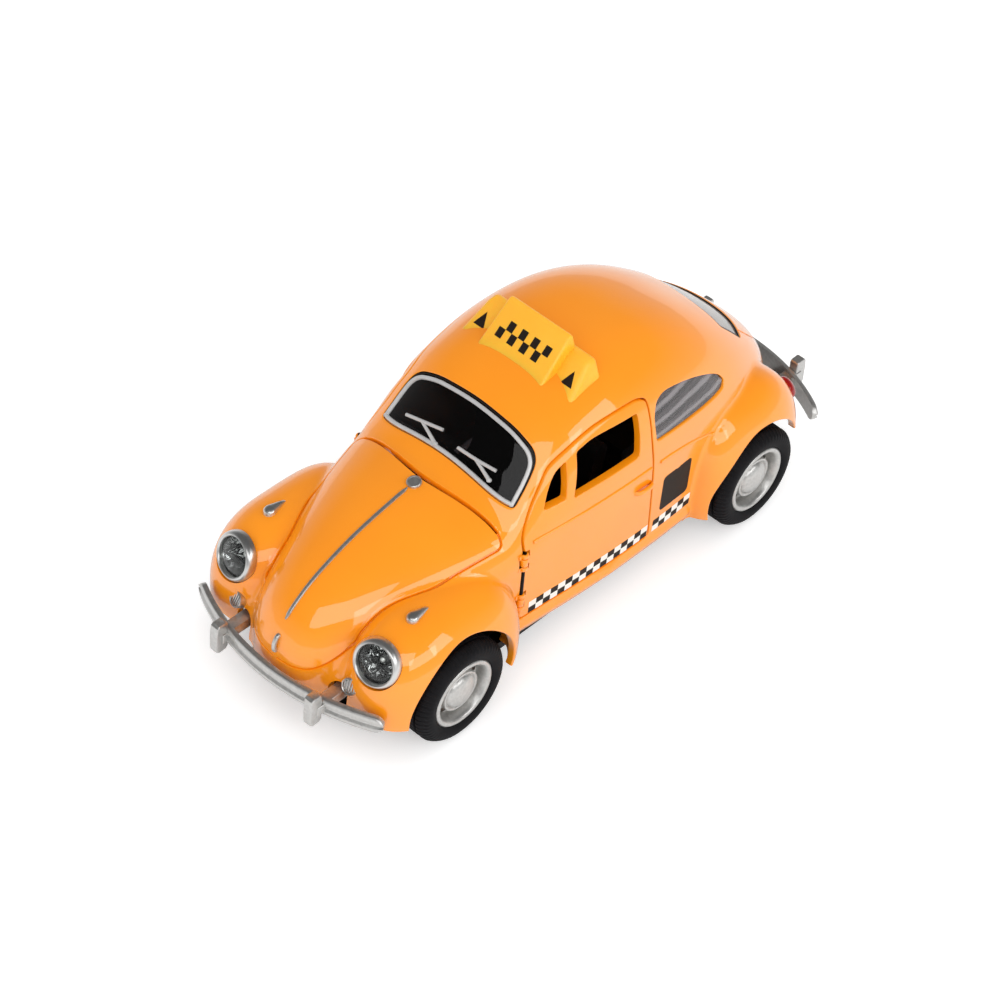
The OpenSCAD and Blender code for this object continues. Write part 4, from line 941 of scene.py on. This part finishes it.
right_wiper = wiper(((-9.3, -17.9), (-6.1, -17.9), (-2.1, -17.6)), (-2, -19.2), "right_wiper")
left_wiper = wiper(((1.6, -18.2), (5, -18), (8.7, -17.4)), (8.5, -18.6), "left_wiper")
for obj in (right_wiper, left_wiper):
    fitted(finish(obj), silver_paint, "body")

# Roof sign. A translucent yellow ABS box, taller in the middle, pressed into the roof by two pegs,
# with a small dark triangle on each low end and a band of checks in the middle of both long faces.
SIGN_LOW = 39.7
SIGN_TOP = crown_height(0, -2) + 4.6
SIGN_END = SIGN_TOP - 2.6
SIGN_WIDE = 23
SIGN_MIDDLE = 13.4
SIGN_SOFT = 0.7
# front and back of the two blocks at the foot, and how far their ends, front and back lean in
MIDDLE_SPAN = (-8.3, 2.6)
MIDDLE_LEAN = (0.5, 7.3, 1.9)
END_SPAN = (-5.9, 2.3)
END_LEAN = (1.3, 4.9, 0.5)
# the first check's corner, and a check's length and height
SIGN_CHECK_X = -4.8
SIGN_CHECK_Z = 43.4
SIGN_CHECK = 1.2
SIGN_ROW = 1.1


def block(width, span, top, lean, name="tool"):
    """A soft-edged block on the roof whose ends, front and back lean in towards its top."""
    rise = (top - SIGN_LOW)/(top - SIGN_SOFT - SIGN_LOW)
    end, front, back = [rise*k for k in lean]
    w, (f, b) = width/2, span
    foot = [(-w, f), (w, f), (w, b), (-w, b)]
    head = [(end - w, f + front), (w - end, f + front), (w - end, b - back), (end - w, b - back)]
    levels = ((SIGN_LOW - 2, foot), (SIGN_LOW, foot), (top, head))
    return soften(tube_of([[(x, y, z) for x, y in edge] for z, edge in levels], name), SIGN_SOFT, 40)


sign = block(SIGN_WIDE, END_SPAN, SIGN_END, END_LEAN, "roof_sign")
carve(sign, [block(SIGN_MIDDLE, MIDDLE_SPAN, SIGN_TOP, MIDDLE_LEAN)], "UNION")
carve(sign, [whole_form])
sign_yellow = mottled("translucent_yellow_abs", 5, 2, linear("#FFB01C"), linear("#FFBC30"), Roughness=0.36,
                      Subsurface_Weight=0.25, Subsurface_Scale=2*MM, IOR=1.53)
fitted(finish(sign), sign_yellow, "body", "taxi_sign")


def sign_face(span, top, lean, side):
    """What sets an outline (across, height) on a leaning long face of the sign, front -1 or back 1."""
    edge, slant = (span[0], lean[1]) if side < 0 else (span[1], lean[2])

    def place(loop, depth):
        x, z = np.asarray(loop, float).T
        rise = (z - SIGN_LOW)/(top - SIGN_SOFT - SIGN_LOW)
        return np.stack([x, edge + side*(depth - slant*rise), z], 1)
    return place


for name, side in (("sign_print_front", -1), ("sign_print_back", 1)):
    on_end = sign_face(END_SPAN, SIGN_END, END_LEAN, side)
    on_middle = sign_face(MIDDLE_SPAN, SIGN_TOP, MIDDLE_LEAN, side)
    sign_print = []
    for x in (-8.9, 8.9):
        triangle = np.array([[x - 1.05, 41.9], [x + 1.05, 41.9], [x, 43.6]])
        steps = np.linspace(0, 1, 6, endpoint=False)[:, None]
        loop = np.vstack([triangle[k] + steps*(triangle[(k + 1) % 3] - triangle[k]) for k in range(3)])
        sign_print.append(ink_patch(loop, on_end))
    for k in range(8):
        for row in (0, 1):
            if (k + row) % 2 == 0:
                u, v = SIGN_CHECK_X + SIGN_CHECK*k, SIGN_CHECK_Z + SIGN_ROW*row
                square = box_loop(u, u + SIGN_CHECK, v, v + SIGN_ROW)
                sign_print.append(ink_patch(square, on_middle, rings=2))
    obj = joined(sign_print[0], sign_print[1:])
    obj.name = name
    fitted(finish(obj), black_ink, "body")

# Headlamps. A silvered plastic ring, a fluted plated dish whose near black and bright streaks are painted
# reflection, with a small bulb in it, and a clear domed lens, pressed as one stack into a round hole in each
# front wing.
silver_plate = mottled("vacuum_plated_silver", 2.5, 3, linear("#CFCFCE"), linear("#E8E8E6"),
                       dull=(0.24, 0.38), Metallic=1.0, Roughness=0.3)
# the dish's colour is painted reflection: metal painted near black, with bright streaks of painted glint from
# a noise
glint_painted_dish_plate, tree, surface = material("creased_plated_dish", Metallic=1.0, Roughness=0.22)
where = add(tree, "ShaderNodeTexCoord").outputs["Object"]
streaks = add(tree, "ShaderNodeTexNoise", {"Vector": where, "Scale": 1/(0.7*MM), "Detail": 2,
                                           "Distortion": 2.5})
glint = add(tree, "ShaderNodeMapRange", {"Value": streaks.outputs["Fac"], "From Min": 0.56, "From Max": 0.64})
tone = add(tree, "ShaderNodeMix", {"Factor": glint.outputs["Result"], "A": linear("#020202"),
                                   "B": linear("#C4C4C6")}, data_type="RGBA")
tree.links.new(tone.outputs["Result"], surface.inputs["Base Color"])
ring = turned([(3.1, 0.2), (3.1, 1.32), (3.18, 1.48), (3.34, 1.58), (3.52, 1.55), (3.72, 1.36), (3.86, 1.08),
               (3.94, 0.7), (3.95, 0.35), (3.95, 0), (3.5, 0)], headlamp_axis)
dish = turned([(0, -1.9), (0.7, -1.85), (1.5, -1.6), (2.3, -1.1), (2.9, -0.4), (3.2, 0.35), (3.35, 0.35),
               (3.35, -0.4), (2.8, -1.5), (1.6, -2.4), (0, -2.55)], headlamp_axis)
FLUTES = 11
FLUTE_DEPTH = 0.17
DISH_RADIUS = 3.2
for vertex in dish.data.vertices:
    local = headlamp_axis.inverted() @ vertex.co
    swell = math.sin(math.pi*min(math.hypot(local.x, local.y)/DISH_RADIUS, 1))
    local.z += FLUTE_DEPTH*swell*math.cos(FLUTES*math.atan2(local.y, local.x))
    vertex.co = headlamp_axis @ local
bulb = turned([(0, -0.45), (0.2, -0.48), (0.4, -0.62), (0.52, -0.9), (0.5, -1.2), (0.4, -1.5), (0.4, -1.95),
               (0, -1.95)], headlamp_axis, steps=32)
lens = turned([(0, 1.95), (0.8, 1.9), (1.6, 1.72), (2.3, 1.45), (2.8, 1.15), (3.08, 0.85), (3.08, 0.5),
               (2.3, 0.8), (1.6, 0.98), (0.8, 1.08), (0, 1.1)], headlamp_axis)
pair(ring, "{}_headlamp_ring", silver_plate, solid="headlamp_ring_{}")
pair(dish, "{}_headlamp_dish", glint_painted_dish_plate, solid="headlamp_dish_{}")
pair(bulb, "{}_headlamp_bulb", silver_plate)
pair(lens, "{}_headlamp_lens", clear_plastic, solid="headlamp_lens_{}")

# Indicators. Teardrop domes in silvered plastic, pegged into the crown of each front wing with the
# fat end to the front.
indicator_axis = (Matrix.Translation((14.8, -39.4, 22.5)) @ Matrix.Rotation(math.radians(4), 4, "Y")
                  @ Matrix.Rotation(math.radians(-6), 4, "X"))
fat_end = circle[::2]*1.0 + [0, -1.0]
thin_end = circle[::2]*0.3 + [0, 2.2]
drop = np.where(((thin_end - fat_end)*circle[::2]).sum(1, keepdims=True) > 0, thin_end, fat_end)
crest = np.array([0, -0.6])
loops = []
for scale, height in ((1, -0.2), (1, 0.72), (0.98, 0.88), (0.92, 1.03), (0.81, 1.19), (0.66, 1.32),
                      (0.47, 1.41), (0.25, 1.46), (0.08, 1.47)):
    loops.append(np.column_stack([crest + (drop - crest)*scale, np.full(len(drop), height)]))
indicator = tube_of(loops, "indicator")
indicator.data.transform(indicator_axis)
pair(indicator, "{}_indicator", silver_plate, solid="blinker_{}")

# Horn grilles. Small round silvered buttons with upright ribs, pegged in below the headlamps.
horn_axis = axis_at((11.85, -49.2, 13.1), 66, 14)
grille = turned([(0, -0.9), (1.3, -0.9), (1.4, -0.7), (1.4, 0.6), (1.34, 0.76), (1.2, 0.82), (1.1, 0.74),
                 (1.06, 0.46), (0, 0.46)], horn_axis, steps=48)
ribs = []
for k in range(-2, 3):
    half = math.sqrt(1.1**2 - (0.42*k)**2)
    edge = [(0.42*k - 0.12, -half), (0.42*k + 0.12, -half), (0.42*k + 0.12, half), (0.42*k - 0.12, half)]
    rib = tube_of([[(u, v, h) for u, v in edge] for h in (0.3, 0.76)])
    rib.data.transform(horn_axis)
    ribs.append(soften(rib, 0.06))
joined(grille, ribs)
pair(grille, "{}_horn_grille", silver_plate, solid="horn_grille_{}")

# Tail lamps. Domed lenses in clear red polystyrene, pressed into the rear wings.
red_plastic = mottled("red_polystyrene", 1.5, 2, linear("#B30F0C"), linear("#D0201A"), Roughness=0.08,
                      IOR=1.55, Transmission_Weight=0.55)
tail_lamp = turned([(0, 0), (1.85, 0), (1.9, 0.2), (1.9, 1.5), (1.82, 1.75), (1.6, 2.02), (1.25, 2.26),
                    (0.8, 2.42), (0.35, 2.49), (0, 2.5)], tail_axis)
pair(tail_lamp, "{}_tail_lamp", red_plastic, solid="tail_lamp_{}")

# Bonnet trim. A thin flat strip down the middle, a plain disc behind it and a small grab handle
# at the nose, all satin silvered plastic on pegs.
satin_silver = mottled("satin_silver_plate", 0.5, 3, linear("#B8B7B5"), linear("#E2E1DE"), dull=(0.28, 0.42),
                       Metallic=0.9, Roughness=0.36)
embossed(satin_silver, 0.5, 3, 0.35, 0.05)
strip_line = on_crown([(0, y) for y in (-26.8, -32, -38, -44, -48, -50.2, -51.2)])
strip_path, strip_normals = path_on_skin(strip_line)
rising = np.linspace(0.35, 22, len(strip_path))
taper = np.clip(np.minimum(rising, np.linspace(22, 0.35, len(strip_path))), 0, 1)
flat_top = np.array([[0.3, 0.02], [0.27, 0.16], [0.18, 0.22], [-0.18, 0.22], [-0.27, 0.16], [-0.3, 0.02]])
strip_profile = [np.vstack([flat_top*[t, 1], [[-0.3*t, -0.2], [0.3*t, -0.2]]]) for t in taper]
strip = sweep(strip_path, strip_normals, strip_profile, name="bonnet_strip_trim")
disc_place = onto_skin(on_crown([(0, -25.4)]))
disc = turned([(0, -0.2), (1.15, -0.2), (1.2, 0.1), (1.16, 0.3), (1.02, 0.42), (0.92, 0.4), (0.88, 0.3),
               (0, 0.3)], facing(disc_place[0], skin_normals(disc_place)[0]), "bonnet_disc_trim", 48)
handle_path = curve_through(np.array([[0, -52.35, 16.8], [0, -52.85, 16.75], [0, -53.3, 16],
                                      [0, -53.45, 15.1], [0, -53.3, 14.4], [0, -52.9, 14.1]]), 6)
handle_side = np.tile([1.0, 0, 0], (len(handle_path), 1))
handle = sweep(handle_path, handle_side, oval(0.42, 0.36, 14), name="bonnet_grab_handle")
for obj, solid in ((strip, "bonnet_strip"), (disc, "bonnet_disc"), (handle, "bonnet_handle")):
    fitted(finish(obj), satin_silver, "body", solid)

# Bumpers. Satin silver plastic blades, bowed in plan with a hollow line along the middle, two upright
# over-riders and two square brackets that run back through the body to the base.
BUMPER_Y = -55.2
# side outline of an over-rider (back from its face, height)
RIDER_Y = -56.3
RIDER = ((0.6, -2.6), (1.9, -2.5), (2.4, -1.9), (2.4, 2.5), (2.2, 3.0), (0.6, 3.05), (0.2, 2.7), (0, 1.4),
         (0, -1.6), (0.15, -2.3))


def bumper(half, sag, z, lug, name):
    """A bumper with its blade's outer face to the front: half length, bow, height, end of the brackets."""
    radius = (half*half + sag*sag)/(2*sag)
    sweep_angle = math.asin(half/radius)
    turn = np.linspace(-sweep_angle, sweep_angle, 90)
    path = np.stack([radius*np.sin(turn), BUMPER_Y + radius*(1 - np.cos(turn)), np.full(len(turn), z)], 1)
    normals = np.stack([np.sin(turn), -np.cos(turn), np.zeros(len(turn))], 1)
    blade = np.array([[-1.6, -0.95], [-1.6, -0.42], [-1.5, -0.2], [-1.3, -0.05], [-1.05, 0.0], [-0.6, -0.02],
                      [-0.36, -0.2], [-0.2, -0.3], [0.2, -0.3], [0.36, -0.2], [0.6, -0.02], [1.05, 0.0],
                      [1.3, -0.05], [1.5, -0.2], [1.6, -0.42], [1.6, -0.95]])
    from_end = radius*(sweep_angle - np.abs(turn))
    tip = np.sqrt(np.clip(1 - (1 - np.clip(from_end/1.6, 0, 1))**2, 0.12, 1))
    made = sweep(path, normals, np.stack([blade*[t, 1] for t in tip]), name=name)
    extra = []
    for x in (-BRACKET_X, BRACKET_X):
        rider = tube_of([[(x + u, RIDER_Y + y, z + h) for y, h in RIDER] for u in (-0.85, 0.85)])
        extra.append(soften(rider, 0.3, 50))
        edge = [(x - 1, z - 0.9), (x + 1, z - 0.9), (x + 1, z + 0.9), (x - 1, z + 0.9)]
        bracket = tube_of([[(u, y, h) for u, h in edge] for y in (-55.1, lug)])
        extra.append(soften(bracket, 0.15))
    return joined(made, extra)


front = bumper(19.5, 4.9, BRACKET_FRONT_Z, -47, "front_bumper_blade")
rear = bumper(19, 5.6, BRACKET_REAR_Z, -44, "rear_bumper_blade")
rear.data.transform(Matrix.Rotation(math.pi, 4, "Z"))
fitted(finish(front, 28), satin_silver, "body", "front_bumper")
fitted(finish(rear, 28), satin_silver, "body", "rear_bumper")

# Wheels. Plated plastic hubs with a bright rim, ten slots and a domed cap, pressed on steel axles, and
# soft PVC tyres with two running grooves and blocks on their shoulders.
HUB_FACE = 21.9
hub_profile = [(0, 0.1), (0.7, 0.07), (1.4, -0.04), (2.0, -0.22), (2.5, -0.48), (2.85, -0.8), (2.95, -1.0),
               (3.05, -0.86), (3.25, -0.78), (3.45, -0.86), (3.55, -1.1), (3.6, -2.2), (4.5, -2.15),
               (4.72, -1.1), (4.86, -0.6), (5.02, -0.25), (5.2, -0.06), (5.4, 0), (5.62, -0.03),
               (5.82, -0.18), (5.9, -0.42), (5.9, -5.4), (5.2, -5.4), (5, -2.7), (2.2, -2.7), (2.2, -5.4),
               (0, -5.4)]
SLOTS = 10
along_x = Matrix.Rotation(math.pi/2, 4, "Y")
hub = turned([(r, h + HUB_FACE) for r, h in hub_profile], along_x, "hub", 96)
slots = []
for k in range(SLOTS):
    spin = Matrix.Rotation(2*math.pi*k/SLOTS, 4, "X")
    slot = tube_of([np.column_stack([circle[::4]*[0.36, 0.8] + [4.1, 0], np.full(30, h)]) for h in (17, 23)])
    slot.data.transform(spin @ along_x)
    slots.append(slot)
carve(hub, slots)
TYRE_IN = 16.1
tyre_profile = np.array([
    [5.9, 0.4], [6.3, 0.12], [7.0, 0], [7.7, 0.06], [8.15, 0.3], [8.45, 0.62], [8.72, 1.0], [8.86, 1.3],
    [8.9, 1.6], [8.88, 1.78], [8.45, 1.84], [8.45, 2.16], [8.88, 2.22], [8.9, 2.5], [8.9, 3.5], [8.88, 3.78],
    [8.45, 3.84], [8.45, 4.16], [8.88, 4.22], [8.9, 4.4], [8.86, 4.7], [8.72, 5.0], [8.45, 5.38], [8.15, 5.7],
    [7.7, 5.94], [7.0, 6], [6.3, 5.88], [5.9, 5.6]])
BLOCKS = 60
SHOULDER_CUT = 0.09
RIB_CUT = 0.06
spins, cut = [], []
for k in range(BLOCKS):
    for part, low in ((0, 0), (0.54, 0), (0.62, 1), (0.92, 1)):
        spins.append(2*math.pi*(k + part)/BLOCKS)
        cut.append(low)
shoulder = (tyre_profile[:, 0] > 8.1) & (np.abs(tyre_profile[:, 1] - 3) > 1.2)
middle_rib = (tyre_profile[:, 0] > 8.6) & (np.abs(tyre_profile[:, 1] - 3) < 0.8)
rings = []
for a, low in zip(spins, cut):
    radius = tyre_profile[:, 0] - low*(SHOULDER_CUT*shoulder + RIB_CUT*middle_rib)
    rings.append(np.stack([TYRE_IN + tyre_profile[:, 1], radius*np.cos(a), radius*np.sin(a)], 1))
tyre = shape_from("tyre", np.vstack(rings), ring_faces(len(rings), len(tyre_profile), True))
# soft PVC: near black, matt, with a greyish bloom in patches of a millimetre or two
black_pvc = mottled("black_soft_pvc", 1.8, 4, linear("#0B0A0C"), linear("#19181B"), Roughness=0.62,
                    Specular_IOR_Level=0.12)
embossed(black_pvc, 0.25, 2, 0.2, 0.04)
for end, axle_y, rides in (("front", FRONT_AXLE_Y, "front_wheels"), ("rear", REAR_AXLE_Y, "rear_wheels")):
    for part, coat in ((hub, satin_silver), (tyre, black_pvc)):
        placed = twin(part)
        placed.data.transform(Matrix.Translation((0, axle_y, AXLE_Z)))
        pair(placed, end + "_{}_" + part.name + "_piece", coat, rides, part.name + "_" + end + "_{}")
bpy.data.objects.remove(hub)
bpy.data.objects.remove(tyre)

# Inside and base. Black ABS mouldings with a fine spark-eroded grain: the seat tub and steering wheel
# under the windows, and the base plate with its bearings, lugs and tail pipes.
black_abs = mottled("black_abs", 0.3, 3, linear("#050505"), linear("#0B0B0C"), Roughness=0.5,
                    Specular_IOR_Level=0.2)
embossed(black_abs, 0.3, 3, 0.25, 0.03)


def coated(coat, *names):
    """Gives solids that are shown as they are a material."""
    for name in names:
        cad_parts[name].data.materials.clear()
        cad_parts[name].data.materials.append(coat)


coated(black_abs, "interior_tub", "steering_wheel", "chassis")

# Axles, hinge pins and screws. Drawn steel wire and zinc-plated screws, grey and fairly bright with fine
# drawing marks; the hinge pins are the same wire, darkened as painted shade so the door gap shows as a dark
# line.
drawn_steel = mottled("drawn_steel", 0.4, 3, linear("#9A9A98"), linear("#BEBEBA"), Metallic=1.0,
                      Roughness=0.3)
coated(drawn_steel, "front_axle", "rear_axle", "screw_front", "screw_rear", "idler_arbor", "spring_arbor",
       "mainspring")
blacked_steel = mottled("blacked_steel", 0.4, 3, linear("#161617"), linear("#2A2A2B"), Metallic=1.0,
                        Roughness=0.45)
coated(blacked_steel, "hinge_pin_left", "hinge_pin_right")

# Wind-back motor. A red polystyrene case and cover with three natural acetal gears inside it: the
# pinion on the rear axle, a middle gear and the spring drum.
red_case = mottled("red_polystyrene_case", 3, 2, linear("#B8251B"), linear("#CC3226"), Roughness=0.4)
coated(red_case, "motor_case", "motor_cover")
acetal = mottled("natural_acetal", 2, 2, linear("#E9E4D3"), linear("#F3EFE2"), Roughness=0.45,
                 Subsurface_Weight=0.15, Subsurface_Scale=MM)
coated(acetal, "drive_pinion", "idler_gear", "spring_gear")

# The studio: a pale paper floor, a white surround that gives most of the light and is dimmer in
# mirror-like surfaces, above all overhead, and three softboxes round the car's left.
FLOOR = 3000
FLOOR_LIFT = 0.32
paper = mottled("white_paper", 2, 2, linear("#F4F4F4"), linear("#F7F7F7"), Roughness=0.9)
tree = paper.node_tree
surface = tree.nodes["Principled BSDF"]
path_kind = add(tree, "ShaderNodeLightPath")
seen = add(tree, "ShaderNodeMath", {0: path_kind.outputs["Is Camera Ray"], 1: FLOOR_LIFT},
           operation="MULTIPLY")
surface.inputs["Emission Color"].default_value = (1, 1, 1, 1)
tree.links.new(seen.outputs["Value"], surface.inputs["Emission Strength"])
floor_corners = [(-FLOOR, -FLOOR, 0), (FLOOR, -FLOOR, 0), (FLOOR, FLOOR, 0), (-FLOOR, FLOOR, 0)]
floor = shape_from("floor", floor_corners, [[0, 1, 2, 3]])
floor.data.transform(Matrix.Scale(MM, 4))
floor.data.materials.append(paper)

SURROUND = 0.9
MIRRORED_LOW = 0.5
MIRRORED_HIGH = 0.1
world = bpy.data.worlds.new("white_surround")
bpy.context.scene.world = world
world.use_nodes = True
tree = world.node_tree
sky = tree.nodes["Background"]
path_kind = add(tree, "ShaderNodeLightPath")
direct = add(tree, "ShaderNodeMath", {0: path_kind.outputs["Is Camera Ray"],
                                      1: path_kind.outputs["Is Transmission Ray"]}, operation="MAXIMUM")
heading = add(tree, "ShaderNodeSeparateXYZ", {0: add(tree, "ShaderNodeTexCoord").outputs["Generated"]})
mirrored = add(tree, "ShaderNodeMapRange", {"Value": heading.outputs["Z"], "From Min": 0.0, "From Max": 0.5,
                                            "To Min": MIRRORED_LOW, "To Max": MIRRORED_HIGH})
indirect = add(tree, "ShaderNodeMix", {0: path_kind.outputs["Is Glossy Ray"], 2: SURROUND,
                                       3: mirrored.outputs["Result"]})
bright = add(tree, "ShaderNodeMix", {0: direct.outputs["Value"], 2: indirect.outputs[0], 3: 1.0})
sky.inputs["Color"].default_value = (1, 1, 1, 1)
tree.links.new(bright.outputs[0], sky.inputs["Strength"])
LIT_PLACE = Vector((0, 0, 0.02))


def softbox(name, place, width, height, watts):
    """A flat soft light that faces the car."""
    light = bpy.data.lights.new(name, "AREA")
    light.shape = "RECTANGLE"
    light.size = width
    light.size_y = height
    light.energy = watts
    lamp = bpy.data.objects.new(name, light)
    lamp.location = place
    lamp.rotation_euler = (Vector(place) - LIT_PLACE).to_track_quat("Z", "Y").to_euler()
    bpy.context.collection.objects.link(lamp)


softbox("front_left", (0.374, -0.497, 0.523), 0.68, 0.32, 1.15)
softbox("left", (0.705, -0.124, 0.377), 0.62, 0.27, 1.0)
softbox("rear_left", (0.655, 0.225, 0.42), 0.3, 0.34, 0.65)

# The camera, where the photograph was taken from: a long lens, high in front of the car's left corner.
AZIMUTH = math.radians(39.68)
ELEVATION = math.radians(44.26)
ROLL = math.radians(5.42)
SENSOR = 36
FOCAL_PIXELS = 3326.4
PICTURE_PIXELS = 1000
LOOKED_AT = Vector((0, -5.35, 13.03))
CAMERA_AWAY = 0.512
back = Vector((math.sin(AZIMUTH)*math.cos(ELEVATION), -math.cos(AZIMUTH)*math.cos(ELEVATION),
               math.sin(ELEVATION)))
right = Vector((math.cos(AZIMUTH), math.sin(AZIMUTH), 0))
up = back.cross(right)
lens_data = bpy.data.cameras.new("camera")
lens_data.sensor_width = SENSOR
lens_data.lens = FOCAL_PIXELS*SENSOR/PICTURE_PIXELS
lens_data.clip_start = 0.01
camera = bpy.data.objects.new("camera", lens_data)
turned_right = right*math.cos(ROLL) + up*math.sin(ROLL)
turned_up = up*math.cos(ROLL) - right*math.sin(ROLL)
camera.matrix_world = (Matrix.Translation(LOOKED_AT*MM + back*CAMERA_AWAY)
                       @ Matrix((turned_right, turned_up, back)).transposed().to_4x4())
bpy.context.collection.objects.link(camera)
bpy.context.scene.camera = camera
bpy.context.scene.view_settings.view_transform = "Standard"
